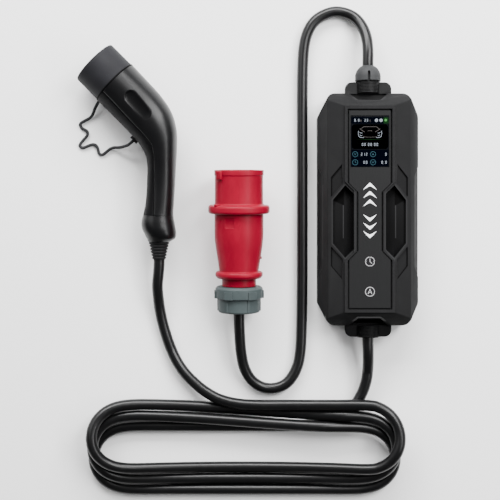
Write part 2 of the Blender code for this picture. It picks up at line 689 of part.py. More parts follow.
def relief_cutters():
    """The pits, the lowered wings above and below them, and the shallow side grips."""
    above = RAIL_TOP + OVERSHOOT
    made = []
    for side, label in ((1, "right"), (-1, "left")):
        made.append(cutter("cut_recess_" + label, recess_cutter(side)))
        wings = bmesh.new()
        for end in (1, -1):
            outline = [(side * x, RELIEF_CENTRE_Y + end * y) for x, y in WING_OUTLINE]
            add_prism(wings, outline, lambda x, y: shoulder_height(x) - WING_DEPTH, above)
        made.append(cutter("cut_wings_" + label, wings))
        beyond = BOX_WIDTH / 2 + OVERSHOOT
        run_out = GRIP_RUN_OUT * (beyond - GRIP_INNER_X) / (BOX_WIDTH / 2 - GRIP_INNER_X)
        long = GRIP_HALF_LENGTH + run_out
        outline = [(GRIP_INNER_X, -GRIP_HALF_LENGTH), (beyond, -long), (beyond, long),
                   (GRIP_INNER_X, GRIP_HALF_LENGTH)]
        outline = [(side * x, RELIEF_CENTRE_Y + y) for x, y in outline]
        made.append(cutter("cut_grip_" + label, prism(outline, grip_height, above)))
    return made


def gland_cutters(end, label):
    """Room for a gland block between the shells, and the flared notch in the end facet."""
    ear_low = GLAND_AXIS_HEIGHT - EAR_THICKNESS / 2 - GAP
    ear_high = GLAND_AXIS_HEIGHT + EAR_THICKNESS / 2 + GAP
    inner = CASE_END - EAR_DEPTH_IN_CASE - GAP
    outer = CASE_END + OVERSHOOT
    half = EAR_HALF_WIDTH + GAP
    ear = block(-half, half, min(end * inner, end * outer), max(end * inner, end * outer), ear_low, ear_high)
    made = [cutter("cut_ear_" + label, ear)]
    steps = (("cut_notch_", 0.0, ear_high - GAP), ("cut_ledge_", NOTCH_LEDGE, NOTCH_LEDGE_HEIGHT))
    for name, margin, low in steps:
        start = CASE_END - NOTCH_LENGTH - margin
        narrow = NOTCH_HALF_WIDTH + margin / 2
        wide = NOTCH_HALF_WIDTH + NOTCH_FLARE + margin
        outline = [(-narrow, end * start), (narrow, end * start), (wide, end * CASE_END), (wide, end * outer),
                   (-wide, end * outer), (-wide, end * CASE_END)]
        made.append(cutter(name + label, prism(outline, low, RAIL_TOP + OVERSHOOT)))
    return made


def lower_room(below):
    """The hollow behind the shoulders, drawn in so that it follows the side facets."""
    ceiling = RECESS_FLOOR - FRONT_WALL
    slope = (BOX_WIDTH / 2 - SHOULDER_HALF_WIDTH) / (SHOULDER_HEIGHT - SIDE_FACET_BASE)
    drawn_in = CASE_WALL + (ceiling + CASE_WALL / 2 - SIDE_FACET_BASE) * slope
    start = SIDE_FACET_BASE - CASE_WALL
    limit = CASE_END - NOTCH_LENGTH - NOTCH_LEDGE - CASE_WALL / 2
    rings = []
    for inset, height, reach in ((CASE_WALL, below, CASE_END), (CASE_WALL, start, CASE_END),
                                 (CASE_WALL, start, limit), (drawn_in, ceiling, limit)):
        rings.append([(x, max(-reach, min(reach, y)), height) for x, y in case_outline(inset)])
    return add_loft(bmesh.new(), rings)


def front_shell(finish, glands):
    shell = add("front_shell", front_form(), finish)
    bevel = shell.modifiers.new("soft_edges", "BEVEL")
    bevel.width = CASE_EDGE_RADIUS
    bevel.segments = 1
    bevel.limit_method = "ANGLE"
    bevel.angle_limit = math.radians(14)
    rail = prism(panel_outline(RAIL_WIDTH), CROWN_HEIGHT - SINK, RAIL_TOP)
    combine(shell, cutter("rail_form", rail), "UNION")
    for tool in relief_cutters():
        combine(shell, tool)
    pocket = cutter("cut_pocket", prism(panel_outline(GAP), POCKET_FLOOR, RAIL_TOP + OVERSHOOT))
    combine(shell, pocket)
    below = FRONT_BASE - OVERSHOOT
    combine(shell, cutter("cut_lower_room", lower_room(below)))
    ceiling = POCKET_FLOOR - FRONT_WALL
    upper_room = prism(panel_outline(-ROOM_INSET), below, ceiling)
    combine(shell, cutter("cut_upper_room", upper_room))
    half_window = LENS_WIDTH / 2
    window_low = LENS_CENTRE_Y - LENS_HEIGHT / 2
    window_high = LENS_CENTRE_Y + LENS_HEIGHT / 2
    window = block(-half_window, half_window, window_low, window_high, ceiling - OVERSHOOT,
                   POCKET_FLOOR + OVERSHOOT)
    combine(shell, cutter("cut_window", window))
    low, high = guide_span()
    half_guide = ARROW_WIDTH / 2 + GUIDE_MARGIN + GAP
    slot = block(-half_guide, half_guide, low - GAP, high + GAP, ceiling - OVERSHOOT,
                 POCKET_FLOOR + OVERSHOOT)
    combine(shell, cutter("cut_guide_slot", slot))
    for tools in glands:
        for tool in tools:
            combine(shell, tool)
    return shell


def rear_shell(finish, glands):
    bm = prism(case_outline(), 0.0, SPLIT_HEIGHT)
    back_edges = [edge for edge in bm.edges if all(vert.co.z < 1e-6 for vert in edge.verts)]
    bmesh.ops.bevel(bm, geom=back_edges, offset=BACK_EDGE_RADIUS, segments=3, profile=0.5, affect="EDGES")
    shell = add("rear_shell", bm, finish)
    room = prism(case_outline(CASE_WALL), CASE_WALL, SPLIT_HEIGHT + OVERSHOOT)
    combine(shell, cutter("cut_rear_room", room))
    bosses = bmesh.new()
    for x, y in screw_places():
        add_prism(bosses, circle(BOSS_RADIUS, 16, (x, y)), CASE_WALL - SINK, CASE_WALL + BOSS_HEIGHT)
    combine(shell, cutter("boss_forms", bosses), "UNION")
    holes = bmesh.new()
    for x, y in screw_places():
        add_prism(holes, circle(SCREW_HEAD_RADIUS + SLIDE, 16, (x, y)), -OVERSHOOT, SCREW_SINK)
    combine(shell, cutter("cut_screw_seats", holes))
    shanks = bmesh.new()
    for x, y in screw_places():
        add_prism(shanks, circle(SCREW_RADIUS + SLIDE, 12, (x, y)), SCREW_SINK - SINK, BOARD_FACE + OVERSHOOT)
    combine(shell, cutter("cut_screw_holes", shanks))
    for tools in glands:
        combine(shell, tools[0])
    return shell


def screw_places():
    return [(x, y) for x in (-SCREW_X, SCREW_X) for y in (-SCREW_Y, SCREW_Y)]


def screw_form(length):
    """A pan-head screw with a hexagonal socket, head down, its head's top at z = 0."""
    head = SCREW_HEAD_HEIGHT
    edge = SCREW_HEAD_EDGE
    return turned([(0, head + length), (SCREW_RADIUS, head + length), (SCREW_RADIUS, head),
                   (SCREW_HEAD_RADIUS, head), (SCREW_HEAD_RADIUS, edge), (SCREW_HEAD_RADIUS - edge, 0),
                   (SCREW_SOCKET / 2, 0), (SCREW_SOCKET / 2, SCREW_SOCKET_DEPTH),
                   (0, SCREW_SOCKET_DEPTH)], 12)


def shell_gasket(side, label, finish):
    """One run of the seal, between the two gland blocks, along one side of the case."""
    low = SPLIT_HEIGHT + GAP
    high = low + GASKET_THICKNESS
    outer = case_outline(CASE_WALL / 2 - GASKET_WIDTH / 2)
    inner = case_outline(CASE_WALL / 2 + GASKET_WIDTH / 2)
    bm = bmesh.new()
    rows = []
    for outline, height in ((outer, low), (outer, high), (inner, high), (inner, low)):
        rows.append([bm.verts.new((x, y, height)) for x, y in outline])
    count = len(outer)
    for row, following in zip(rows, rows[1:] + rows[:1]):
        for k in range(count):
            n = (k + 1) % count
            bm.faces.new((row[k], row[n], following[n], following[k]))
    seal = add("shell_gasket_" + label, bm, finish)
    keep = EAR_HALF_WIDTH + 2 * GAP
    beyond = BOX_WIDTH
    span = sorted((side * keep, -side * beyond))
    other_side = block(span[0], span[1], -BOX_LENGTH, BOX_LENGTH, 0, 2 * high)
    combine(seal, cutter("cut_gasket_" + label, other_side))
    return seal


def chevron(tip_y, up):
    """One arrow mark: an open V with a pointed tip and tapered arms."""
    sign = 1 if up else -1
    half = ARROW_WIDTH / 2
    shoulder = half * ARROW_SHOULDER
    inner = half * ARROW_INNER
    inner_drop = ARROW_THICKNESS + ARROW_INNER_DROP
    shoulder_drop = ARROW_RISE * ARROW_SHOULDER_DROP
    points = [(0, 0), (shoulder, -shoulder_drop), (half, -ARROW_RISE), (inner, -inner_drop),
              (0, -ARROW_THICKNESS), (-inner, -inner_drop), (-half, -ARROW_RISE),
              (-shoulder, -shoulder_drop)]
    return [(x, tip_y + sign * y) for x, y in points]


def chevrons():
    marks = []
    for k in range(ARROWS_PER_GROUP):
        marks.append(chevron(ARROW_UP_TIP_Y - k * ARROW_PITCH, True))
        marks.append(chevron(ARROW_DOWN_TIP_Y + k * ARROW_PITCH, False))
    return marks


def guide_span():
    return ARROW_DOWN_TIP_Y - GUIDE_MARGIN, ARROW_UP_TIP_Y + GUIDE_MARGIN


def arrow_light_guide(finish):
    low, high = guide_span()
    half = ARROW_WIDTH / 2 + GUIDE_MARGIN
    base = block(-half, half, low, high, POCKET_FLOOR - GUIDE_BASE_THICKNESS, POCKET_FLOOR)
    guide = add("arrow_light_guide", base, finish)
    marks = bmesh.new()
    for outline in chevrons():
        add_prism(marks, outline, POCKET_FLOOR - GUIDE_BASE_THICKNESS / 2, PANEL_FACE)
    combine(guide, cutter("arrow_forms", marks), "UNION")
    return guide


def fascia_panel(finish):
    outline = panel_outline(-PANEL_GROOVE)
    panel = add("fascia_panel", prism(outline, PANEL_BASE, PANEL_FACE), finish)
    half = LENS_WIDTH / 2 + GAP
    tall = LENS_HEIGHT / 2 + GAP
    lens_room = block(-half, half, LENS_CENTRE_Y - tall, LENS_CENTRE_Y + tall,
                      PANEL_FACE - LENS_THICKNESS - GAP, PANEL_FACE + OVERSHOOT)
    combine(panel, cutter("cut_lens_seat", lens_room))
    view_x = half - LENS_LEDGE
    view_y = tall - LENS_LEDGE
    view = block(-view_x, view_x, LENS_CENTRE_Y - view_y, LENS_CENTRE_Y + view_y,
                 PANEL_BASE - OVERSHOOT, PANEL_FACE)
    combine(panel, cutter("cut_view", view))
    marks = bmesh.new()
    for outline in chevrons():
        add_prism(marks, grown(outline, GAP), PANEL_BASE - OVERSHOOT, PANEL_FACE + OVERSHOOT)
    combine(panel, cutter("cut_arrows", marks))
    return panel


def display(finishes):
    half = LENS_WIDTH / 2
    tall = LENS_HEIGHT / 2
    add("display_lens", block(-half, half, LENS_CENTRE_Y - tall, LENS_CENTRE_Y + tall,
                              PANEL_FACE - LENS_THICKNESS, PANEL_FACE), finishes["lens"])
    room = 2 * GAP
    wide = half - room
    tall = tall - room
    module = block(-wide, wide, LENS_CENTRE_Y - tall, LENS_CENTRE_Y + tall,
                   POCKET_FLOOR - DISPLAY_THICKNESS, POCKET_FLOOR)
    add("display_module", module, finishes["part"])


def control_electronics(finishes):
    face = POCKET_FLOOR - DISPLAY_THICKNESS - GAP
    inset = -ROOM_INSET - 2 * GAP
    add("control_board", prism(panel_outline(inset), face - BOARD_THICKNESS, face), finishes["board"])
    ceiling = POCKET_FLOOR - FRONT_WALL
    for label, y in (("timer", TOUCH_TIMER_Y), ("current", TOUCH_CURRENT_Y)):
        bm = turned([(0, face + GAP), (TOUCH_RADIUS * 0.7, face + GAP), (TOUCH_RADIUS, ceiling - GAP),
                     (0, ceiling - GAP)], 16)
        add("touch_pad_" + label, bm, finishes["brass"], place=(0, y, 0))


def power_electronics(finishes):
    half = BOARD_WIDTH / 2
    board = add("main_board", block(-half, half, -BOARD_LENGTH / 2, BOARD_LENGTH / 2, BOARD_BASE, BOARD_FACE),
                finishes["board"])
    holes = bmesh.new()
    for x, y in screw_places():
        add_prism(holes, circle(SCREW_RADIUS + SLIDE, 12, (x, y)), 0.0, BOARD_FACE + OVERSHOOT)
    combine(board, cutter("cut_board_holes", holes))
    seat = SEAT_ON_BOARD
    for number, x in ((1, -RELAY_X), (2, RELAY_X)):
        bm = block(x - RELAY_WIDTH / 2, x + RELAY_WIDTH / 2, RELAY_Y - RELAY_LENGTH / 2,
                   RELAY_Y + RELAY_LENGTH / 2, seat, seat + RELAY_HEIGHT)
        upright = [e for e in bm.edges if abs(e.verts[0].co.z - e.verts[1].co.z) > RELAY_HEIGHT / 2]
        bmesh.ops.bevel(bm, geom=upright, offset=PART_EDGE, segments=1, affect="EDGES")
        add("relay_" + str(number), bm, finishes["part"])
    top = seat + SENSOR_HEIGHT
    edge = SENSOR_EDGE
    sensor = turned([(SENSOR_INNER, seat), (SENSOR_OUTER - edge, seat), (SENSOR_OUTER, seat + edge),
                     (SENSOR_OUTER, top - edge), (SENSOR_OUTER - edge, top), (SENSOR_INNER, top)], 28)
    add("leakage_sensor", sensor, finishes["part"], smooth=40, place=(SENSOR_X, 0, 0))
    converter = block(CONVERTER_X - CONVERTER_WIDTH / 2, CONVERTER_X + CONVERTER_WIDTH / 2,
                      -CONVERTER_LENGTH / 2, CONVERTER_LENGTH / 2, seat, seat + CONVERTER_HEIGHT)
    bmesh.ops.bevel(converter, geom=converter.edges[:], offset=PART_EDGE, segments=1, affect="EDGES")
    add("power_converter", converter, finishes["core"])
    can = CAPACITOR_RADIUS
    top = seat + CAPACITOR_HEIGHT
    capacitor = turned([(0, seat), (can, seat), (can, top - PART_EDGE), (can - PART_EDGE, top), (0, top)], 20)
    add("filter_capacitor", capacitor, finishes["part"], smooth=40, place=(CAPACITOR_X, CAPACITOR_Y, 0))
    for label, y in (("supply_terminals", SUPPLY_TERMINALS_Y), ("output_terminals", OUTPUT_TERMINALS_Y)):
        add(label, terminal_block(y, seat), finishes["part"])


def terminal_block(y, seat):
    """A row of ways: a stepped body with a wire entry groove for each way."""
    half = TERMINAL_WAYS * TERMINAL_PITCH / 2
    top = seat + TERMINAL_HEIGHT
    low = top - TERMINAL_GROOVE
    outline = [(-half, seat), (half, seat), (half, top)]
    for k in range(TERMINAL_WAYS):
        right = half - k * TERMINAL_PITCH
        left = right - TERMINAL_PITCH
        outline += [(right - TERMINAL_RIB, top), (right - TERMINAL_GROOVE, low),
                    (left + TERMINAL_GROOVE, low), (left + TERMINAL_RIB, top)]
    outline.append((-half, top))
    bm = prism(outline, 0.0, TERMINAL_DEPTH)
    turn = Matrix.Rotation(math.radians(90), 4, "X")
    bm.transform(Matrix.Translation((0, y + TERMINAL_DEPTH, 0)) @ turn)
    return bm


def gland_block(end, name, finish):
    """Flat ears with rounded outer corners and a barrel on the cable's axis."""
    inner = CASE_END - EAR_DEPTH_IN_CASE
    corners = [(EAR_HALF_WIDTH, inner), (EAR_HALF_WIDTH, EAR_END), (-EAR_HALF_WIDTH, EAR_END),
               (-EAR_HALF_WIDTH, inner)]
    outline = rounded(corners, [0, EAR_CORNER_RADIUS, EAR_CORNER_RADIUS, 0], 5)
    outline = [(x, end * y) for x, y in outline]
    low = GLAND_AXIS_HEIGHT - EAR_THICKNESS / 2
    made = add(name, prism(outline, low, low + EAR_THICKNESS), finish)
    soft = made.modifiers.new("soft_edges", "BEVEL")
    soft.width = EAR_EDGE
    soft.segments = 1
    soft.limit_method = "ANGLE"
    soft.angle_limit = math.radians(50)
    length = EAR_LENGTH - GAP + BARREL_EDGE
    barrel = turned([(0, 0), (BARREL_RADIUS, 0), (BARREL_RADIUS, length - BARREL_EDGE),
                     (BARREL_RADIUS - BARREL_EDGE, length), (0, length)], BARREL_SIDES)
    along_y(barrel, z=GLAND_AXIS_HEIGHT, y=end * (CASE_END + GAP), flip=end < 0)
    combine(made, cutter("barrel_" + name, barrel), "UNION")
    return made


def top_dome(finish):
    """A domed bush, flat where the cable leaves it, with a slot in its side."""
    centre = DOME_BASE_LENGTH
    tip_angle = math.asin((CABLE_DIAMETER / 2 + GAP) / DOME_RADIUS)
    profile = [(0, 0), (DOME_RADIUS, 0)]
    steps = 8
    for k in range(steps + 1):
        angle = math.pi / 2 - (math.pi / 2 - tip_angle) * k / steps
        profile.append((DOME_RADIUS * math.sin(angle), centre + DOME_RADIUS * math.cos(angle)))
    profile.append((0, profile[-1][1]))
    start = EAR_END + BARREL_EDGE + GAP
    bm = along_y(turned(profile, 28), z=GLAND_AXIS_HEIGHT, y=start)
    dome = add("top_dome", bm, finish, smooth=40)
    half = DOME_SLOT_WIDTH / 2
    top = GLAND_AXIS_HEIGHT + DOME_RADIUS
    corners = rectangle(-half, half, start + DOME_SLOT_START, start + DOME_SLOT_START + DOME_SLOT_LENGTH)
    slot = prism(rounded(corners, [half - SLOT_END_FLAT] * 4, 3), top - DOME_SLOT_DEPTH, top + OVERSHOOT)
    combine(dome, cutter("cut_dome_slot", slot))
    return dome


def control_box(finishes):
    glands = [gland_cutters(1, "top"), gland_cutters(-1, "bottom")]
    front_shell(finishes["case"], glands)
    rear_shell(finishes["case"], glands)
    shell_gasket(1, "right", finishes["rubber"])
    shell_gasket(-1, "left", finishes["rubber"])
    fascia_panel(finishes["panel"])
    arrow_light_guide(finishes["guide"])
    display(finishes)
    control_electronics(finishes)
    power_electronics(finishes)
    screw_length = BOARD_FACE - SCREW_SINK
    for number, (x, y) in enumerate(screw_places(), start=1):
        head_low = SCREW_SINK - SCREW_HEAD_HEIGHT - GAP
        add("case_screw_" + str(number), screw_form(screw_length), finishes["steel"], smooth=40,
            place=(x, y, head_low))
    gland_block(1, "top_collar", finishes["rubber"])
    gland_block(-1, "bottom_collar", finishes["rubber"])
    top_dome(finishes["grey"])


# Vehicle connector. Its pieces are modelled about the head's rim, with the head's axis at z = 0,
# and hang on one empty that leans the handle's end towards the surface.

def from_rim(point):
    return Vector((point[0] - CONNECTOR_RIM.x, point[1] - CONNECTOR_RIM.y))


def handle_sections():
    """Rings of the handle, skinned between its outer and inner edge in plan."""
    edges = []
    for outer, inner, half in HANDLE_STATIONS:
        outer = from_rim(outer)
        inner = from_rim(inner)
        edges.append(Vector((outer.x, outer.y, inner.x, inner.y)))
    halves = [station[2] for station in HANDLE_STATIONS]
    knots = [2 * edges[0] - edges[1]] + edges + [2 * edges[-1] - edges[-2]]
    sizes = [halves[0]] + halves + [2 * halves[-1] - halves[-2]]
    rings = []
    spans = len(edges) - 1
    for i in range(HANDLE_RINGS + 1):
        place = spans * i / HANDLE_RINGS
        k = min(int(place), spans - 1)
        share = place - k
        edge = spline_point(*knots[k:k + 4], share)
        half = spline_point(*sizes[k:k + 4], share)
        power = 2 + (HANDLE_SQUARENESS - 2) * min(1.0, place / 4)
        rings.append((Vector((edge[0], edge[1])), Vector((edge[2], edge[3])), half, power))
    return rings


def superellipse(count, power):
    points = []
    for k in range(count):
        angle = 2 * math.pi * k / count
        c = math.cos(angle)
        s = math.sin(angle)
        points.append((math.copysign(abs(c) ** (2 / power), c), math.copysign(abs(s) ** (2 / power), s)))
    return points


def handle_form():
    rings = []
    for outer, inner, half, power in handle_sections():
        centre = (outer + inner) / 2
        across = (outer - inner) / 2
        ring = []
        for c, s in superellipse(HANDLE_SIDES, power):
            ring.append((centre.x + across.x * c, centre.y + across.y * c, half * s))
        rings.append(ring)
    return add_loft(bmesh.new(), rings)


def strip_region(side_step):
    """The slice of the handle beside the seam, in plan. side_step moves the seam towards the strip."""
    seam = [from_rim(point) for point in STRIP_SEAM]
    moved = []
    for i, point in enumerate(seam):
        before = seam[max(0, i - 1)]
        after = seam[min(len(seam) - 1, i + 1)]
        run = (after - before).normalized()
        normal = Vector((run.y, -run.x))
        moved.append(point + normal * side_step)
    far = STRIP_CUT_REACH
    first = moved[0]
    last = moved[-1]
    lift = Vector((-1, -1)).normalized() * far
    outline = moved + [Vector((last.x - far, last.y)), Vector((last.x - far, STRIP_CUT_END_Y)), first + lift]
    return [tuple(point) for point in outline]


def head_frame(bm, along=0.0):
    """Places a shape turned about Z on the head's axis, its height pointing out of the head."""
    out = Vector((-1, 1, 0)).normalized()
    turn = Vector((0, 0, 1)).rotation_difference(out).to_matrix().to_4x4()
    bm.transform(Matrix.Translation(out * along) @ turn)
    return bm


def contact_places():
    """The seven-way face: three ways across the middle, two below them and two signal ways above."""
    row = CONTACT_ROW_HEIGHT
    return [(-CONTACT_ROW_SPACING, row), (0.0, row), (CONTACT_ROW_SPACING, row),
            (-CONTACT_PAIR_X, CONTACT_PAIR_HEIGHT), (CONTACT_PAIR_X, CONTACT_PAIR_HEIGHT),
            (-SIGNAL_CONTACT_X, SIGNAL_CONTACT_HEIGHT), (SIGNAL_CONTACT_X, SIGNAL_CONTACT_HEIGHT)]


def vehicle_connector(finishes):
    place = (CONNECTOR_RIM.x, CONNECTOR_RIM.y, HEAD_AXIS_HEIGHT)
    frame = empty("connector_frame", place, (CONNECTOR_LEAN, 0, 0))
    tall = CUT_REACH
    shell = add("handle_shell", handle_form(), finishes["handle"], frame, smooth=45)
    strip = add("grip_strip", handle_form(), finishes["rubber"], frame, smooth=45)
    combine(shell, cutter("cut_strip_room", prism(strip_region(-GAP / 2), -tall, tall), frame))
    combine(strip, cutter("keep_strip", prism(strip_region(GAP / 2), -tall, tall), frame), "INTERSECT")
    socket = cutter("cut_socket", head_frame(turned([(0, -SOCKET_DEPTH), (SOCKET_RADIUS, -SOCKET_DEPTH),
                                                     (SOCKET_RADIUS, OVERSHOOT), (0, OVERSHOOT)], 32)), frame)
    combine(shell, socket)
    combine(strip, socket)
    trim = head_frame(turned([(0, -STRIP_START), (2 * HEAD_RADIUS, -STRIP_START),
                              (2 * HEAD_RADIUS, 2 * OVERSHOOT), (0, 2 * OVERSHOOT)], 12))
    combine(strip, cutter("cut_strip_end", trim, frame))
    combine(shell, cutter("cut_thumb", thumb_recess(), frame))
    carrier(finishes, frame)
    dust_cap(finishes["cap"], frame)
    bend_relief(finishes["rubber"], frame)
    anchor = block(*[v for size in ANCHOR_SIZE for v in (-size / 2, size / 2)])
    anchor.transform(Matrix.Rotation(ANCHOR_TURN, 4, "Z"))
    add("tether_anchor", anchor, finishes["rubber"], place=(ANCHOR_CENTRE.x, ANCHOR_CENTRE.y, ANCHOR_HEIGHT))


def thumb_recess():
    """A long oval hollow in the head's face, its floor level."""
    start = from_rim(THUMB_START)
    end = from_rim(THUMB_END)
    run = (end - start).normalized()
    side = Vector((-run.y, run.x))
    outline = []
    steps = 8
    for centre, sign in ((end, 1), (start, -1)):
        for k in range(steps + 1):
            angle = math.pi * k / steps - math.pi / 2
            reach = run * math.cos(angle) + side * math.sin(angle)
            outline.append(tuple(centre + sign * THUMB_RADIUS * reach))
    return prism(outline, HEAD_RADIUS - THUMB_DEPTH, HEAD_RADIUS + OVERSHOOT)


def carrier(finishes, frame):
    body = head_frame(turned([(0, -SOCKET_DEPTH + GAP), (CARRIER_RADIUS, -SOCKET_DEPTH + GAP),
                              (CARRIER_RADIUS, CARRIER_REACH), (0, CARRIER_REACH)], 32))
    made = add("contact_carrier", body, finishes["part"], frame, smooth=40)
    flat = prism(rectangle(-CUT_REACH, CUT_REACH, CARRIER_FLAT, CUT_REACH), GAP, CUT_REACH)
    combine(made, cutter("cut_carrier_flat", head_frame(flat), frame))
    holes = bmesh.new()
    base = CARRIER_REACH - CONTACT_LENGTH - CONTACT_INSET
    for x, y in contact_places():
        add_prism(holes, circle(CONTACT_HOLE_RADIUS, 10, (x, y)), base, CARRIER_REACH + OVERSHOOT)
    combine(made, cutter("cut_contact_holes", head_frame(holes), frame))
    for number, (x, y) in enumerate(contact_places(), start=1):
        low = base + GAP
        high = base + CONTACT_LENGTH
        bm = turned([(0, low), (CONTACT_RADIUS, low), (CONTACT_RADIUS, high), (CONTACT_BORE, high),
                     (CONTACT_BORE, low + CONTACT_FLOOR), (0, low + CONTACT_FLOOR)], 10)
        bm.transform(Matrix.Translation((x, y, 0)))
        add("contact_" + str(number), head_frame(bm), finishes["brass"], frame, smooth=40)


def dust_cap(finish, frame):
    inner = CAP_RADIUS - CAP_WALL
    start = GAP
    end = CAP_LENGTH
    floor = end - CAP_END_WALL
    profile = [(inner, start), (CAP_RADIUS - CAP_EDGE, start), (CAP_RADIUS, start + CAP_EDGE)]
    for k in range(5):
        angle = math.pi / 2 * k / 4
        profile.append((CAP_RADIUS - CAP_END_RADIUS * (1 - math.cos(angle)),
                        end - CAP_END_RADIUS * (1 - math.sin(angle))))
    profile += [(0, end + CAP_CROWN), (0, floor), (inner, floor)]
    add("dust_cap", head_frame(turned(profile, 36)), finish, frame, smooth=35)


def bend_relief(finish, frame):
    """A tapered boot with rings, which gets narrower towards the cable."""
    pitch = RELIEF_LENGTH / RELIEF_RINGS
    profile = [(0, 0)]
    for k in range(RELIEF_RINGS):
        for share, groove in ((0.0, 0.0), (0.62, 0.0), (0.72, RELIEF_GROOVE), (0.92, RELIEF_GROOVE)):
            along = (k + share) * pitch
            radius = RELIEF_START_RADIUS + (RELIEF_END_RADIUS - RELIEF_START_RADIUS) * along / RELIEF_LENGTH
            profile.append((radius - groove, along))
    profile.append((RELIEF_END_RADIUS, RELIEF_LENGTH))
    profile.append((0, RELIEF_LENGTH))
    bm = turned(profile, 20)
    outer, inner, _ = HANDLE_STATIONS[-1]
    end = (from_rim(outer) + from_rim(inner)) / 2
    add("connector_bend_relief", along_y(bm, end.x, 0.0, end.y - GAP, True), finish, frame, smooth=40)


# Supply plug

def supply_plug(finishes):
    frame = empty("plug_frame", (PLUG_X, 0.0, PLUG_AXIS_HEIGHT), (PLUG_TILT, 0.0, 0.0))
    flange_front = FLANGE_LENGTH / 2
    mouth = flange_front + SLEEVE_LENGTH
    bore = SLEEVE_RADIUS - SLEEVE_WALL
    edge = FLANGE_EDGE
    near = edge * (1 - math.sqrt(0.5))
    band = SLEEVE_RADIUS + RIM_BAND_HEIGHT
    shroud_profile = [
        (bore, -flange_front), (FLANGE_RADIUS - edge, -flange_front),
        (FLANGE_RADIUS - near, -flange_front + near),
        (FLANGE_RADIUS, -flange_front + edge), (FLANGE_RADIUS, flange_front - edge),
        (FLANGE_RADIUS - near, flange_front - near), (FLANGE_RADIUS - edge, flange_front),
        (SLEEVE_RADIUS, flange_front), (SLEEVE_RADIUS, mouth - RIM_BAND_LENGTH),
        (band, mouth - RIM_BAND_LENGTH + RIM_BAND_HEIGHT), (band, mouth - RIM_EDGE), (band - RIM_EDGE, mouth),
        (bore, mouth)]
    shroud_form = along_y(turned(shroud_profile, 36))
    shroud = add("plug_shroud", shroud_form, finishes["red"], frame, smooth=35)
    key = key_rib(mouth)
    combine(shroud, cutter("key_form", key, frame), "UNION")
    plug_insert(finishes, bore, frame)
    plug_body(finishes["red"], flange_front, frame)
    gland(finishes, frame)


def key_rib(mouth):
    """The rib on the sleeve that sets the plug's clock position, seen at the left of the mouth."""
    half = KEY_WIDTH / 2
    bm = block(-half, half, mouth - KEY_LENGTH, mouth - KEY_SET_BACK, SLEEVE_RADIUS - SINK,
               SLEEVE_RADIUS + KEY_HEIGHT)
    top = [e for e in bm.edges if all(v.co.z > SLEEVE_RADIUS for v in e.verts)]
    bmesh.ops.bevel(bm, geom=top, offset=RIM_EDGE, segments=1, affect="EDGES")
    bm.transform(Matrix.Rotation(-KEY_ANGLE, 4, "Y"))
    return bm


def pin_places():
    """Five ways on a ring. The first is the earth way."""
    spread = 2 * math.pi / PIN_COUNT
    start = math.radians(-90)
    return [(PIN_RING_RADIUS * math.cos(start + k * spread), PIN_RING_RADIUS * math.sin(start + k * spread))
            for k in range(PIN_COUNT)]


def plug_insert(finishes, bore, frame):
    radius = bore - GAP
    back = INSERT_FRONT - INSERT_LENGTH
    bm = turned([(0, back), (radius, back), (radius, INSERT_FRONT - INSERT_EDGE),
                 (radius - INSERT_EDGE, INSERT_FRONT), (0, INSERT_FRONT)], 32)
    insert = add("plug_insert", along_y(bm), finishes["part"], frame, smooth=35)
    holes = bmesh.new()
    for number, (x, z) in enumerate(pin_places()):
        size = (EARTH_PIN_RADIUS if number == 0 else PIN_RADIUS) + GAP
        add_prism(holes, circle(size, 12, (x, z)), back + PIN_SEAT, INSERT_FRONT + OVERSHOOT)
    combine(insert, cutter("cut_pin_holes", along_y(holes), frame))
    for number, (x, z) in enumerate(pin_places()):
        size = EARTH_PIN_RADIUS if number == 0 else PIN_RADIUS
        low = back + PIN_SEAT + GAP
        high = INSERT_FRONT + PIN_REACH
        pin = turned([(0, low), (size, low), (size, high - PIN_TIP_TAPER), (size / 2, high), (0, high)], 12)
        pin.transform(Matrix.Translation((x, z, 0)))
        add("plug_pin_" + str(number + 1), along_y(pin), finishes["brass"], frame, smooth=40)


def plug_body(finish, flange_front, frame):
    """The rear housing: straight, then tapered, with a lip and the neck that the nut screws on."""
    start = -flange_front - GAP
    taper = start - BODY_STRAIGHT
    taper_end = taper - BODY_TAPER_LENGTH
    lip_end = taper_end - LIP_LENGTH
    neck_end = lip_end - NECK_LENGTH
    room = BODY_RADIUS - BODY_WALL
    narrow = BODY_TAPER_RADIUS - BODY_WALL
    neck_room = SEAL_RADIUS + GAP
    edge = LIP_EDGE
    profile = [(room, start), (room, taper), (narrow, taper_end), (neck_room, taper_end - BODY_WALL),
               (neck_room, neck_end), (NECK_RADIUS - edge, neck_end), (NECK_RADIUS, neck_end + edge),
               (NECK_RADIUS, lip_end), (LIP_RADIUS - edge, lip_end), (LIP_RADIUS, lip_end + edge),
               (LIP_RADIUS, taper_end - edge), (LIP_RADIUS - edge, taper_end), (BODY_TAPER_RADIUS, taper_end),
               (BODY_RADIUS - edge, taper), (BODY_RADIUS, taper + BODY_WALL), (BODY_RADIUS, start)]
    add("plug_body", along_y(turned(profile, 36)), finish, frame, smooth=35)


def nut_end():
    """Where the cable leaves the clamping nut."""
    body = FLANGE_LENGTH / 2 + GAP + BODY_STRAIGHT + BODY_TAPER_LENGTH + LIP_LENGTH + NECK_LENGTH
    return -(body + GAP + NUT_COLLAR_LENGTH + NUT_LENGTH)


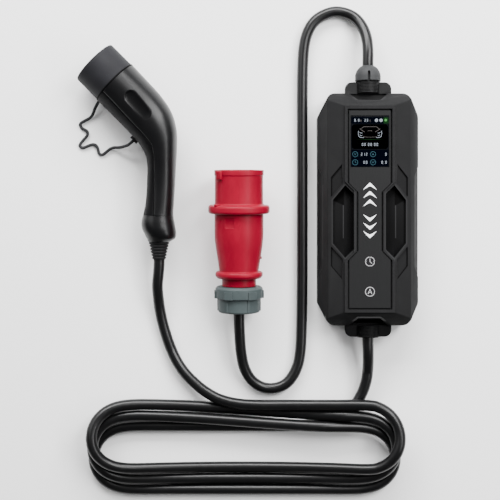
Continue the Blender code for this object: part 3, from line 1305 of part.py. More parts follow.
def gland(finishes, frame):
    end = nut_end()
    start = end + NUT_COLLAR_LENGTH + NUT_LENGTH
    bore = SEAL_RADIUS + GAP
    edge = NUT_EDGE
    whole = NUT_COLLAR_LENGTH + NUT_LENGTH
    collar = [(bore, 0.0), (NUT_COLLAR_RADIUS - edge, 0.0), (NUT_COLLAR_RADIUS, edge),
              (NUT_COLLAR_RADIUS, NUT_COLLAR_LENGTH - edge), (NUT_COLLAR_RADIUS - edge, NUT_COLLAR_LENGTH),
              (NUT_RADIUS, NUT_COLLAR_LENGTH), (NUT_RADIUS, whole - edge), (NUT_RADIUS - edge, whole),
              (bore, whole)]
    nut_form = along_y(turned(collar, 36), 0.0, 0.0, start, True)
    nut = add("gland_nut", nut_form, finishes["nut"], frame, smooth=35)
    ridges = bmesh.new()
    for k in range(NUT_RIDGES):
        angle = 2 * math.pi * (k + 0.5) / NUT_RIDGES
        half = NUT_RIDGE_WIDTH / 2
        rib = block(NUT_RADIUS - SINK, NUT_RADIUS + NUT_RIDGE_HEIGHT, -half, half, NUT_COLLAR_LENGTH - SINK,
                    whole - 2 * edge)
        rib.transform(Matrix.Rotation(angle, 4, "Z"))
        scratch = bpy.data.meshes.new("rib")
        rib.to_mesh(scratch)
        rib.free()
        ridges.from_mesh(scratch)
        bpy.data.meshes.remove(scratch)
    combine(nut, cutter("nut_ridges", along_y(ridges, 0.0, 0.0, start, True), frame), "UNION")
    seal_back = start + NECK_LENGTH
    seal = turned([(0, end), (SEAL_RADIUS - SEAL_EDGE, end), (SEAL_RADIUS, end + SEAL_EDGE),
                   (SEAL_RADIUS, seal_back), (0, seal_back)], 28)
    add("gland_seal", along_y(seal), finishes["rubber"], frame, smooth=35)


# Cable

def cable_coil(finish):
    """The outer shape of the three turns: a long oval ring, higher at its ends where turns cross."""
    middle_y = (COIL_TOP + COIL_BOTTOM) / 2
    end_radius = (COIL_TOP - COIL_BOTTOM) / 2
    straight = COIL_HALF_LENGTH - end_radius
    inner_radius = end_radius - COIL_BAND
    arc = math.pi * end_radius
    total = 4 * straight + 2 * arc
    bm = bmesh.new()
    rows = []
    for k in range(COIL_STATIONS):
        run = total * k / COIL_STATIONS
        side, along = divmod(run, total / 2)
        sign = 1 if side < 0.5 else -1
        if along < 2 * straight:
            centre = Vector((straight - along, 0))
            out = Vector((0, 1))
        else:
            angle = math.pi / 2 + (along - 2 * straight) / end_radius
            centre = Vector((-straight, 0))
            out = Vector((math.cos(angle), math.sin(angle)))
        reach = abs(centre.x + out.x * end_radius) / COIL_HALF_LENGTH
        share = max(0.0, (reach - (1 - COIL_END_SHARE)) / COIL_END_SHARE)
        ease = share * share * (3 - 2 * share)
        high = COIL_MIDDLE_HEIGHT + (COIL_END_HEIGHT - COIL_MIDDLE_HEIGHT) * ease
        row = []
        for radius, z in ((end_radius, GAP), (end_radius, high), (inner_radius, high), (inner_radius, GAP)):
            point = sign * (centre + out * radius)
            row.append(bm.verts.new((COIL_CENTRE_X + point.x, middle_y + point.y, z)))
        rows.append(row)
    for row, following in zip(rows, rows[1:] + rows[:1]):
        for i in range(4):
            j = (i + 1) % 4
            bm.faces.new((row[i], row[j], following[j], following[i]))
    return add("cable_coil", bm, finish)


def cables(finishes):
    cord("supply_cable", SUPPLY_ROUTE, CABLE_DIAMETER, CABLE_POINT_STEP, finishes["cable"], 3)
    cord("output_cable_box_end", BOX_END_ROUTE, CABLE_DIAMETER, CABLE_POINT_STEP, finishes["cable"], 3)
    cord("output_cable_connector_end", CONNECTOR_END_ROUTE, CABLE_DIAMETER, CABLE_POINT_STEP,
         finishes["cable"], 3)
    cord("cap_tether", TETHER_ROUTE, TETHER_DIAMETER, TETHER_POINT_STEP, finishes["cap"], 2)
    cable_coil(finishes["cable"])


def main():
    remove_everything()
    finishes = make_materials()
    control_box(finishes)
    vehicle_connector(finishes)
    supply_plug(finishes)
    cables(finishes)


main()
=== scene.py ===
"""Looks of a portable EV charger, laid flat: control box, supply plug, vehicle connector and cable.

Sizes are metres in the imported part's own frame: X to the box's right, Y towards its supply side, Z up.
"""
import math

import bmesh
import bpy
import numpy as np
from mathutils import Matrix, Vector


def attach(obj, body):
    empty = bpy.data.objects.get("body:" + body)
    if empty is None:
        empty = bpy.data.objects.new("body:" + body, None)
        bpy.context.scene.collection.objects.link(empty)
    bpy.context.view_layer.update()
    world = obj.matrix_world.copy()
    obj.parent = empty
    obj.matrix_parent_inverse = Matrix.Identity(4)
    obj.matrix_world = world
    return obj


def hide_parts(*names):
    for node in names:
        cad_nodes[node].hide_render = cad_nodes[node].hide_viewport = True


MM = 0.001

# Control box
PANEL_FACE = 0.0529
LENS_CENTRE_Y = 0.0795
TOUCH_TIMER_Y = -0.0621
TOUCH_CURRENT_Y = -0.0976
RECESS_CENTRE_Y = -0.0150
RECESS_RIDGE_X = 0.0309
GRIP_LINE_X = 0.0547
WING_EDGE_X = 0.0450
FRONT_FACE_Z = 0.0400
GLAND_AXIS_HEIGHT = 0.0270
BARREL_RADIUS = 0.0134
CASE_END = 0.1385
EAR_END = 0.1522
DOME_START = 0.1533
DOME_RADIUS = 0.0154
DOME_BASE_LENGTH = 0.0052
DOME_SLOT_HALF_WIDTH = 0.0015

# Cables
CABLE_DIAMETER = 0.0134
TETHER_DIAMETER = 0.0038
RESTING_HEIGHT = 0.0070
TETHER_HEIGHT = 0.0021
CABLE_STEP = 0.004
TETHER_STEP = 0.0012

# Vehicle connector
CONNECTOR_RIM = Vector((-0.3025, 0.1512, 0.0300))
CONNECTOR_LEAN = math.radians(1.8)
HEAD_RADIUS = 0.0297
THUMB_START = Vector((-0.2805, 0.1320))
THUMB_END = Vector((-0.2645, 0.1131))
THUMB_RADIUS = 0.0078
THUMB_DEPTH = 0.0016
SEAM_GROOVE = 0.00035
SEAM_REACH = 0.0012
SEAM_DEPTH = 0.0007
SEAM_LEAST_SHARE = -0.995
HANDLE_SECTIONS = 320
RELIEF_LENGTH = 0.0212
RELIEF_RIBS = 6
RELIEF_START_RADIUS = 0.0124
RELIEF_END_RADIUS = 0.0079

# Supply plug
PLUG_X = -0.1544
FLANGE_RADIUS = 0.0367
FLANGE_HALF_LENGTH = 0.0050
SLEEVE_RADIUS = 0.0287
SLEEVE_BORE = 0.0259
PLUG_MOUTH = 0.0466
BODY_RADIUS = 0.0292
BODY_START = -0.0053
BODY_TAPER_START = -0.0369
BODY_END = -0.0744
LIP_END = -0.0821
NECK_END = -0.0917
NUT_START = -0.0920
NUT_COLLAR_RADIUS = 0.0284
NUT_COLLAR_LENGTH = 0.0139
NUT_LENGTH = 0.0312
KEY_ANGLE = math.radians(50)
# Between the two rims that the plug lies on
PLUG_REST_SPAN = 0.1003
PLUG_TILT = math.atan((FLANGE_RADIUS - NUT_COLLAR_RADIUS) / PLUG_REST_SPAN)
PLUG_AXIS_HEIGHT = 0.03729


# Node building

def join(tree, value, socket):
    """Links an output to a socket, or sets the socket to a plain value."""
    if isinstance(value, Wire):
        value = value.socket
    elif isinstance(value, bpy.types.Node):
        value = value.outputs[0]
    if isinstance(value, bpy.types.NodeSocket):
        tree.links.new(value, socket)
    else:
        socket.default_value = value


def add_node(tree, kind, settings, values, named):
    """Adds a node with its settings, then its sockets, by order or by name."""
    made = tree.nodes.new(kind)
    for key, value in (settings or {}).items():
        setattr(made, key, value)
    for number, value in enumerate(values):
        join(tree, value, made.inputs[number])
    for label, value in named.items():
        join(tree, value, made.inputs[label.replace("_", " ")])
    return made


def maths(operation, swapped=False):
    """An operator for wires that adds one Math node."""
    def build(wire, *others):
        order = (*others, wire) if swapped else (wire, *others)
        return wire.finish.node("ShaderNodeMath", {"operation": operation}, *order)
    return build


class Wire:
    """An output of a shader node. Arithmetic on it adds Math nodes."""

    def __init__(self, finish, socket):
        self.finish = finish
        self.socket = socket

    __abs__ = maths("ABSOLUTE")
    __add__ = maths("ADD")
    __sub__ = maths("SUBTRACT")
    __mul__ = maths("MULTIPLY")
    __gt__ = maths("GREATER_THAN")
    __lt__ = maths("LESS_THAN")
    __radd__ = maths("ADD", True)
    __rsub__ = maths("SUBTRACT", True)
    __rmul__ = maths("MULTIPLY", True)


class Finish:
    """A material under construction, with one Principled shader."""

    def __init__(self, name, **constants):
        self.material = bpy.data.materials.new(name)
        self.material.use_nodes = True
        self.tree = self.material.node_tree
        self.shader = self.tree.nodes["Principled BSDF"]
        for label, value in constants.items():
            self.shader.inputs[label.replace("_", " ")].default_value = value
        self.place = self.node("ShaderNodeTexCoord", output="Object")

    def node(self, kind, settings=None, *values, output=0, **named):
        return Wire(self, add_node(self.tree, kind, settings, values, named).outputs[output])

    def done(self, colour, roughness, normal=None):
        """Joins the shader's main inputs and gives the material."""
        for label, value in (("Base Color", colour), ("Roughness", roughness), ("Normal", normal)):
            if value is not None:
                join(self.tree, value, self.shader.inputs[label])
        return self.material

    def axis(self, letter):
        """A coordinate of the object, in metres."""
        return self.node("ShaderNodeSeparateXYZ", None, self.place, output=letter)

    def stretched(self, scale, turn=0.0):
        return self.node("ShaderNodeMapping", None, self.place, Rotation=(0, 0, turn), Scale=scale)

    def noise(self, scale, detail=2.0, roughness=0.5, where=None):
        return self.node("ShaderNodeTexNoise", None, where or self.place, Scale=scale, Detail=detail,
                         Roughness=roughness)

    def waves(self, where, direction, **values):
        return self.node("ShaderNodeTexWave", {"wave_type": "BANDS", "bands_direction": direction}, where, **values)

    def blend(self, share, first, second):
        """A colour between two others."""
        made = self.tree.nodes.new("ShaderNodeMix")
        made.data_type = "RGBA"
        for number, value in ((0, share), (6, first), (7, second)):
            join(self.tree, value, made.inputs[number])
        return Wire(self, made.outputs[2])

    def span(self, value, low, high):
        """0 up to the low value, 1 from the high one, and even between them."""
        return self.node("ShaderNodeMapRange", None, value, low, high)

    def line(self, distance, inner, outer):
        """1 on a line, fading to 0 beside it."""
        return 1.0 - self.span(abs(distance), inner, outer)

    def larger(self, first, *others):
        for other in others:
            first = self.node("ShaderNodeMath", {"operation": "MAXIMUM"}, first, other)
        return first

    def matte_where(self, share, colour, roughness):
        """Mixes in a plain shader with almost no gloss, by a mask."""
        dull = add_node(self.tree, "ShaderNodeBsdfPrincipled", None, (),
                        {"Base Color": colour, "Roughness": roughness, "Specular IOR Level": 0.03})
        both = add_node(self.tree, "ShaderNodeMixShader", None, (share, self.shader, dull), {})
        join(self.tree, both, self.tree.nodes["Material Output"].inputs["Surface"])

    def bump(self, height, distance, strength=1.0):
        return self.node("ShaderNodeBump", None, Height=height, Distance=distance, Strength=strength)


def shade(value, factor):
    return tuple(channel * factor for channel in value) + (1.0,)


# Finishes

def moulded(name, colour, roughness, grain=2600, depth=0.00005, mottle=0.10, dust=0.0, shine=0.12):
    """Moulded plastic or rubber: fine spark-eroded grain, faint mottling, smudges and a little dust."""
    finish = Finish(name, Specular_IOR_Level=shine)
    fine = finish.noise(grain, 2, 0.6)
    base = finish.blend(finish.span(finish.noise(34, 3), 0.35, 0.65), shade(colour, 1 - mottle),
                        shade(colour, 1 + mottle))
    if dust:
        specks = finish.span(finish.noise(900, 3, 0.7), 0.62, 0.75)
        base = finish.blend(specks * dust, base, (0.32, 0.31, 0.30, 1.0))
    smudge = finish.span(finish.noise(60, 4, 0.6), 0.4, 0.7)
    return finish.done(base, roughness + (smudge - 0.5) * (0.10 * roughness) + (fine - 0.5) * 0.06,
                       finish.bump(fine, depth))


def case_plastic():
    """Charcoal case: satin spark-eroded texture, with painted shade in the pits, along the wing folds and on one
    facet of each pit, and painted highlights on the rail tops, lips, grip lines and ridges.
    """
    finish = Finish("case_plastic", Specular_IOR_Level=0.025)
    grain = finish.node("ShaderNodeTexVoronoi", {"feature": "SMOOTH_F1"}, finish.place, Scale=1500.0,
                        Smoothness=0.6)
    colour = finish.blend(finish.span(finish.noise(26, 4, 0.55), 0.3, 0.7), (0.0104, 0.0104, 0.0107, 1),
                          (0.0130, 0.0130, 0.0134, 1))
    across = abs(finish.axis("X"))
    station = finish.axis("Y")
    height = finish.axis("Z")
    away = abs(station)
    from_recess = station - RECESS_CENTRE_Y
    along = abs(from_recess)
    front = height > FRONT_FACE_Z
    # Painted shade in the pits and lowered wings, by their depth under the slope of the shoulder
    pit_shade = finish.span(0.0520 - finish.larger(across - 0.030, 0.0) * 0.42 - height, 0.0007, 0.0050)
    pit_shade = pit_shade * (across < 0.0470) * (away < 0.118) * (height > 0.0300)
    colour = finish.blend(pit_shade * 0.72, colour, (0.0010, 0.0010, 0.0011, 1))
    # Painted highlight on the rail tops, broken up by noise
    rail_highlight = finish.span(height, 0.0530, 0.0543) * finish.span(finish.noise(420, 4, 0.7), 0.42, 0.62)
    colour = finish.blend(rail_highlight * 0.45, colour, (0.0180, 0.0180, 0.0186, 1))
    # Distances out of the recess's hexagon and out of the notch at either end
    rim = finish.larger(across - 0.0431, 0.0187 - across, across * 0.7734 + along * 0.6340 - 0.04957,
                        along * 0.7140 - across * 0.7001 - 0.01026)
    mouth = finish.larger(0.1293 - away, across * 0.6484 - away * 0.7612 + 0.09012)
    # Painted highlights: light lines along the recess's rim (lip), the notch's ledge, the grip line and the pit's
    # ridge (spine)
    lip = finish.span(rim, -0.0001, 0.0003) * (1.0 - finish.span(rim, 0.0013, 0.0022)) * front
    ledge_highlight = finish.span(mouth, -0.0001, 0.0002) * (1.0 - finish.span(mouth, 0.0020, 0.0026)) * front
    grip = finish.line(across - GRIP_LINE_X, 0.0003, 0.0008) * (along < 0.0440) * (height > 0.0250)
    spine_highlight = finish.line(across - RECESS_RIDGE_X, 0.0003, 0.0009) * (along < 0.0195) * (height > 0.0440) * (rim < 0.0)
    # Painted shade: dark lines along the outer edges of the lowered wings
    fold_shade_line = finish.larger(finish.line(across * 0.7682 + along * 0.6402 - 0.06812, 0.0003, 0.0008),
                         finish.line(across - WING_EDGE_X, 0.0003, 0.0008) * (along < 0.0524))
    fold_shade_line = fold_shade_line * (across > 0.0325) * (across < WING_EDGE_X + 0.0006) * (along > 0.0300) * front
    colour = finish.blend(fold_shade_line * 0.85, colour, (0.0004, 0.0004, 0.0004, 1))
    # Painted shade: a dark triangle on the upper outer facet of each pit
    dark_facet_shade = (rim < 0.0) * (from_recess > 0.0195 + (across - RECESS_RIDGE_X) * 0.5) * (across > 0.0300)
    colour = finish.blend(dark_facet_shade * 0.85, colour, (0.0003, 0.0003, 0.0003, 1))
    # The painted highlights go in as a lighter colour
    colour = finish.blend(finish.larger(lip * 0.75, grip * 0.8, spine_highlight * 0.9, ledge_highlight * 0.8), colour,
                          (0.0200, 0.0200, 0.0206, 1))
    # A brighter painted highlight on the ledge of the lower notch, which lies in shade
    colour = finish.blend(ledge_highlight * (station < 0.0), colour, (0.0600, 0.0600, 0.0610, 1))
    smudge = finish.span(finish.noise(75, 5, 0.6), 0.40, 0.66)
    return finish.done(colour, 0.44 + smudge * 0.06 + pit_shade * 0.12 - rail_highlight * 0.05, finish.bump(grain, 0.00006, 0.5))


def panel_film():
    """Front film: satin, with a very fine brushed grain along the box and a soft-touch haze."""
    finish = Finish("panel_film", Specular_IOR_Level=0.08)
    streaks = finish.noise(1.0, 3, 0.6, finish.stretched((5200, 160, 900)))
    colour = finish.blend(finish.span(streaks, 0.3, 0.7), (0.0090, 0.0091, 0.0094, 1), (0.0112, 0.0113, 0.0116, 1))
    return finish.done(colour, 0.34 + streaks * 0.10,
                       finish.bump(finish.noise(3800, 2, 0.6) + streaks * 0.5, 0.00003, 0.5))


def lens_glass():
    """Dark display cover, smooth, with a trace of wiping marks."""
    finish = Finish("lens_glass", Specular_IOR_Level=0.10)
    wipe = finish.noise(1.0, 4, 0.6, finish.stretched((90, 420, 90), 0.5))
    colour = finish.blend(finish.span(wipe, 0.3, 0.7), (0.0010, 0.0012, 0.0020, 1), (0.0016, 0.0019, 0.0028, 1))
    return finish.done(colour, 0.16 + finish.span(wipe, 0.45, 0.75) * 0.08)


def cable_jacket():
    """Black jacket with a soft gloss: shallow lay of the cores under it, drawing lines and scuffs."""
    finish = Finish("cable_jacket", Specular_IOR_Level=0.28)
    scuff = finish.span(finish.noise(240, 5, 0.65), 0.56, 0.72)
    broad = finish.noise(40, 3)
    colour = finish.blend(broad, (0.0018, 0.0018, 0.0020, 1), (0.0034, 0.0034, 0.0037, 1))
    lay = finish.waves(finish.node("ShaderNodeUVMap", {"uv_map": "UVMap"}), "DIAGONAL", Scale=3.0, Distortion=0.4)
    relief = lay * 0.35 + finish.noise(1500, 2, 0.6) * 0.4 + broad * 0.5
    return finish.done(finish.blend(scuff * 0.07, colour, (0.022, 0.022, 0.023, 1)),
                       0.29 + scuff * 0.10 + broad * 0.05, finish.bump(relief, 0.00008, 0.35))


def handle_plastic():
    """Black handle: gloss over a very slight orange peel, hairline scratches and a matte thumb recess."""
    finish = Finish("handle_plastic", Specular_IOR_Level=0.27)
    scratch = finish.waves(finish.stretched((1, 0.25, 1), 0.6), "X", Scale=160.0, Distortion=38.0, Detail=4.0,
                           Detail_Scale=3.0)
    hair = finish.span(scratch, 0.985, 1.0)
    colour = finish.blend(finish.noise(30, 3), (0.0009, 0.0009, 0.0012, 1), (0.0015, 0.0015, 0.0019, 1))
    run = THUMB_END - THUMB_START
    way = run.normalized()
    x = finish.axis("X") - THUMB_START.x
    y = finish.axis("Y") - THUMB_START.y
    beside = x * way.y - y * way.x
    down = x * way.x + y * way.y
    past = finish.larger(down - run.length, 0.0 - down, 0.0)
    thumb = (1.0 - finish.span(beside * beside + past * past, 0.000055, 0.000072)) * (finish.axis("Z") > 0.0300)
    finish.matte_where(thumb * 0.72, (0.0012, 0.0012, 0.0014, 1), 0.50)
    relief = finish.noise(330, 3, 0.5) * 0.4 + finish.noise(2200, 2) * 0.2
    return finish.done(finish.blend(hair * 0.08, colour, (0.03, 0.03, 0.032, 1)),
                       0.32 + finish.span(finish.noise(70, 5, 0.6), 0.42, 0.68) * 0.03 + hair * 0.05,
                       finish.bump(relief, 0.00004, 0.20))


def red_plastic():
    """Signal red nylon: satin, mottled by flow, with fine texture and a few darker rub marks."""
    finish = Finish("red_plastic", Specular_IOR_Level=0.11)
    flow = finish.noise(1.0, 4, 0.6, finish.stretched((70, 22, 70)))
    colour = finish.blend(finish.span(flow, 0.3, 0.7), (0.178, 0.0014, 0.0125, 1), (0.222, 0.0022, 0.0165, 1))
    marks = finish.span(finish.noise(1.0, 5, 0.7, finish.stretched((300, 60, 300))), 0.60, 0.74)
    return finish.done(finish.blend(marks * 0.22, colour, (0.17, 0.003, 0.006, 1)),
                       0.36 + finish.span(finish.noise(90, 4, 0.6), 0.4, 0.7) * 0.08,
                       finish.bump(finish.noise(1700, 3, 0.6), 0.00006, 0.6))


def nickel():
    finish = Finish("nickel_contact", Metallic=1.0)
    wear = finish.noise(1.0, 4, 0.6, finish.stretched((900, 60, 900)))
    return finish.done(finish.blend(finish.span(wear, 0.4, 0.7), (0.62, 0.59, 0.53, 1), (0.50, 0.46, 0.38, 1)),
                       0.22 + wear * 0.18, finish.bump(wear, 0.00002, 0.5))


def screw_steel():
    finish = Finish("screw_steel", Metallic=1.0)
    turning = finish.noise(2400, 3, 0.6)
    return finish.done(finish.blend(turning, (0.34, 0.34, 0.35, 1), (0.48, 0.48, 0.49, 1)),
                       0.28 + turning * 0.15, finish.bump(turning, 0.00002, 0.4))


def board_green():
    """Solder mask with copper tracks showing under it."""
    finish = Finish("board_green", Specular_IOR_Level=0.5)
    tracks = finish.node("ShaderNodeTexBrick", {"offset": 0.35}, finish.stretched((1, 1, 0)), Scale=140.0,
                         Color1=(0, 0, 0, 1), Color2=(0.1, 0.1, 0.1, 1), Mortar=(1, 1, 1, 1), Mortar_Size=0.03)
    lines = finish.node("ShaderNodeRGBToBW", None, tracks)
    base = finish.blend(finish.noise(50, 2), (0.010, 0.085, 0.035, 1), (0.016, 0.115, 0.050, 1))
    return finish.done(finish.blend(lines, base, (0.06, 0.22, 0.09, 1)), 0.38 + lines * 0.1,
                       finish.bump(lines, 0.00003, 0.5))


def wound_core():
    """Yellow tape over a winding."""
    finish = Finish("core_tape")
    wraps = finish.waves(finish.place, "X", Scale=120.0, Distortion=1.0)
    return finish.done(finish.blend(wraps, (0.48, 0.34, 0.05, 1), (0.62, 0.46, 0.09, 1)), 0.42 + wraps * 0.08,
                       finish.bump(wraps, 0.00005, 0.6))


def print_ink(name, colour, glow=0.0, shine=0.04):
    """Printed or lit marks: flat ink with a slight grain."""
    finish = Finish(name, Specular_IOR_Level=shine)
    grain = finish.noise(2800, 2, 0.6)
    tone = finish.blend(grain, shade(colour, 0.92), shade(colour, 1.0))
    if glow:
        join(finish.tree, tone, finish.shader.inputs["Emission Color"])
        finish.shader.inputs["Emission Strength"].default_value = glow
    return finish.done(tone, 0.35 + grain * 0.1)


def make_finishes():
    return {
        "case": case_plastic(), "panel": panel_film(), "lens": lens_glass(), "cable": cable_jacket(),
        "handle": handle_plastic(), "red": red_plastic(), "nickel": nickel(), "steel": screw_steel(),
        "board": board_green(), "core": wound_core(),
        "grey_rubber": moulded("dome_rubber", (0.030, 0.031, 0.032), 0.56, 2000, 0.00006),
        "rubber": moulded("black_rubber", (0.0085, 0.0085, 0.0090), 0.50, 2200, 0.00007, 0.12, 0.05),
        "collar": moulded("collar_plastic", (0.0060, 0.0060, 0.0062), 0.44),
        # A darker copy of the collar plastic: painted shade for the lower collar
        "collar_shaded": moulded("lower_collar_plastic", (0.0026, 0.0026, 0.0028), 0.50, shine=0.06),
        "grip": moulded("grip_rubber", (0.0014, 0.0014, 0.0017), 0.50, 1900, 0.00010, 0.12, shine=0.07),
        "band": moulded("band_rubber", (0.0012, 0.0012, 0.0013), 0.60, shine=0.05),
        "tether": moulded("tether_rubber", (0.0250, 0.0252, 0.0268), 0.52),
        "cap": moulded("cap_rubber", (0.0108, 0.0108, 0.0128), 0.60, 1600, 0.00009, 0.12, 0.04),
        "nut": moulded("nut_grey_plastic", (0.044, 0.056, 0.057), 0.44, 2200, mottle=0.08),
        "part": moulded("component_dark", (0.020, 0.020, 0.022), 0.44, 2400),
        "guide": print_ink("arrow_light", (0.92, 0.93, 0.94), 0.35),
        "key_disc": print_ink("key_disc_ink", (0.012, 0.012, 0.013)),
        "key_ink": print_ink("key_ink", (0.34, 0.34, 0.34)),
        "black": print_ink("display_black", (0.0001, 0.0001, 0.0002), 0.0, 0.0),
        "navy": print_ink("display_navy", (0.0003, 0.0007, 0.0022), 0.0, 0.0),
        "white": print_ink("display_white", (0.19, 0.21, 0.24), 0.10),
        "grey": print_ink("display_grey", (0.060, 0.054, 0.052), 0.15),
        "teal": print_ink("display_teal", (0.022, 0.060, 0.076), 0.20),
        "green": print_ink("display_green", (0.0030, 0.0140, 0.0040), 0.20, 0.0),
        "lime": print_ink("display_lime", (0.035, 0.130, 0.035), 0.30, 0.0),
    }


# Mesh building

def piece(name, bm, material, smooth=40):
    """Makes a finished piece at the origin, with welded points and outward faces."""
    bmesh.ops.remove_doubles(bm, verts=bm.verts, dist=1e-7)
    bmesh.ops.recalc_face_normals(bm, faces=bm.faces)
    mesh = bpy.data.meshes.new(name)
    bm.to_mesh(mesh)
    bm.free()
    if smooth is not None:
        mesh.shade_smooth()
        mesh.set_sharp_from_angle(angle=math.radians(smooth))
    if material is not None:
        mesh.materials.append(material)
    made = bpy.data.objects.new(name, mesh)
    bpy.context.scene.collection.objects.link(made)
    return made


def settle(made):
    """Turns an object with modifiers into a plain mesh."""
    bpy.context.view_layer.update()
    evaluated = made.evaluated_get(bpy.context.evaluated_depsgraph_get())
    mesh = bpy.data.meshes.new_from_object(evaluated)
    made.modifiers.clear()
    made.data = mesh
    return made


def softened(made, width, angle):
    bevel = made.modifiers.new("edge_radius", "BEVEL")
    bevel.width = width
    bevel.segments = 2
    bevel.limit_method = "ANGLE"
    bevel.angle_limit = math.radians(angle)
    bevel.use_clamp_overlap = True
    bevel.harden_normals = True
    return settle(made)


def cut_away(made, tool):
    step = made.modifiers.new("cut", "BOOLEAN")
    step.operation = "DIFFERENCE"
    step.solver = "EXACT"
    step.object = tool
    settle(made)
    bpy.data.objects.remove(tool)
    return made


def merged_copy(node, name, material):
    """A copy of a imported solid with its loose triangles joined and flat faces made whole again."""
    bm = bmesh.new()
    bm.from_mesh(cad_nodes[node].data)
    bmesh.ops.remove_doubles(bm, verts=bm.verts, dist=2e-6)
    bmesh.ops.dissolve_limit(bm, angle_limit=math.radians(1.0), verts=bm.verts, edges=bm.edges)
    return piece(name, bm, material, 30)


def arc(x, y, radius, steps, start=0.0, turn=math.tau):
    """Points on an arc in plan. A full turn doesn't repeat its first point."""
    return [(x + radius * math.cos(start + turn * k / steps), y + radius * math.sin(start + turn * k / steps))
            for k in range(steps + (turn != math.tau))]


def skin(bm, rings):
    """Joins each closed ring of points to the next."""
    for ring, other in zip(rings, rings[1:]):
        for k in range(len(ring)):
            n = (k + 1) % len(ring)
            bm.faces.new((ring[k], ring[n], other[n], other[k]))


def turned(profile, sides=96):
    """Turns a (radius, height) profile about Z. Points on the axis have radius 0."""
    bm = bmesh.new()
    rings = [[bm.verts.new((x, y, height)) for x, y in (arc(0, 0, radius, sides) if radius else [(0, 0)])]
             for radius, height in profile]
    for ring, other in zip(rings, rings[1:]):
        for k in range(sides):
            n = (k + 1) % sides
            corners = [ring[k % len(ring)], ring[n % len(ring)], other[n % len(other)], other[k % len(other)]]
            unique = list(dict.fromkeys(corners))
            if len(unique) > 2:
                bm.faces.new(unique)
    return bm


def soft_profile(points, steps=4):
    """Rounds the corners of a profile. Each point is (radius, height, corner radius)."""
    made = []
    for i, (radius, height, corner) in enumerate(points):
        place = Vector((radius, height))
        if corner <= 0 or i == 0 or i == len(points) - 1:
            made.append((radius, height))
            continue
        before = Vector(points[i - 1][:2]) - place
        after = Vector(points[i + 1][:2]) - place
        reach = min(corner, before.length * 0.45, after.length * 0.45)
        start = place + before.normalized() * reach
        end = place + after.normalized() * reach
        for k in range(steps + 1):
            t = k / steps
            point = start * (1 - t) ** 2 + place * 2 * t * (1 - t) + end * t ** 2
            made.append((point.x, point.y))
    return made


def along_y(bm, x=0.0, y=0.0, z=0.0, flip=False):
    """Lays a shape turned about Z along Y: its height becomes Y, or minus Y where flip is set."""
    turn = math.radians(90 if flip else -90)
    bm.transform(Matrix.Translation((x, y, z)) @ Matrix.Rotation(turn, 4, "X"))
    return bm


def flat_shape(bm, outline, low, high):
    """A thin plate from an outline in plan."""
    rings = [[bm.verts.new((x, y, height)) for x, y in outline] for height in (low, high)]
    bm.faces.new(rings[0][::-1])
    bm.faces.new(rings[1])
    skin(bm, rings)


def bar(bm, start, end, width, low, high):
    """A straight stroke between two points in plan."""
    start = Vector(start)
    end = Vector(end)
    side = Vector((start.y - end.y, end.x - start.x)).normalized() * width / 2
    flat_shape(bm, [tuple(start + side), tuple(start - side), tuple(end - side), tuple(end + side)], low, high)


def stroke(bm, points, width, low, high):
    """A joined stroke along a line of points in plan, with mitred corners."""
    points = [Vector(point) for point in points]
    left = []
    right = []
    for i, point in enumerate(points):
        before = (point - points[i - 1]).normalized() if i else None
        after = (points[i + 1] - point).normalized() if i < len(points) - 1 else None
        run = ((before or after) + (after or before)).normalized()
        side = Vector((-run.y, run.x))
        stretch = 1 / max(0.5, side.dot(Vector((-(after or before).y, (after or before).x))))
        left.append(tuple(point + side * stretch * width / 2))
        right.append(tuple(point - side * stretch * width / 2))
    flat_shape(bm, right + list(reversed(left)), low, high)


def ring_mark(bm, centre, radius, width, low, high, steps=48):
    rows = [[bm.verts.new((x, y, height)) for x, y in arc(*centre, radius + side * width / 2, steps)]
            for side, height in ((1, low), (1, high), (-1, high), (-1, low))]
    skin(bm, rows + rows[:1])


SEGMENTS = {"0": "abcdef", "1": "bc", "2": "abged", "3": "abgcd", "8": "abcdefg", "C": "adef", "V": "bcdef"}


def digits(name, text, place, height, material, low, high, align):
    """Numerals built from thin segment bars; the place is their middle, or their right end."""
    width = 0.00038
    half = width / 2
    wide = height * 0.48
    pitch = height * 0.88
    run = sum(pitch * (0.55 if mark == "." else 1.0) for mark in text) - (pitch - wide)
    left = place[0] - (run if align == "RIGHT" else run / 2)
    bottom = place[1] - height / 2
    middle = bottom + height / 2
    bm = bmesh.new()
    for mark in text:
        if mark == ".":
            bar(bm, (left - half, bottom + half), (left + width - half, bottom + half), width, low, high)
            left += pitch * 0.55
            continue
        parts = SEGMENTS[mark]
        right = left + wide
        inner = half if "g" in parts else 0.0
        upper = middle + inner, bottom + height - (width if "a" in parts else 0.0)
        lower = bottom + (width if "d" in parts else 0.0), middle - inner
        for part, level in (("a", bottom + height - half), ("g", middle), ("d", bottom + half)):
            if part in parts:
                bar(bm, (left, level), (right, level), width, low, high)
        for part, across, (start, end) in (("f", left + half, upper), ("b", right - half, upper),
                                           ("e", left + half, lower), ("c", right - half, lower)):
            if part in parts:
                bar(bm, (across, start), (across, end), width, low, high)
        left += pitch
    return piece(name, bm, material, None)


# Cord routes

def smooth_path(points, step):
    """Evenly spaced points on a smooth curve through the given ones."""
    knots = np.array(points, float)
    knots = np.vstack([2 * knots[0] - knots[1], knots, 2 * knots[-1] - knots[-2]])
    fine = []
    for i in range(1, len(knots) - 2):
        a, b, c, d = knots[i - 1:i + 3]
        for t in np.linspace(0, 1, 24, endpoint=False):
            fine.append(0.5 * (2 * b + (c - a) * t + (2 * a - 5 * b + 4 * c - d) * t * t
                               + (3 * b - a - 3 * c + d) * t ** 3))
    fine.append(knots[-2])
    fine = np.array(fine)
    runs = np.concatenate([[0], np.cumsum(np.linalg.norm(np.diff(fine, axis=0), axis=1))])
    wanted = np.linspace(0, runs[-1], max(2, int(round(runs[-1] / step))) + 1)
    return np.stack([np.interp(wanted, runs, fine[:, k]) for k in range(fine.shape[1])], axis=1)


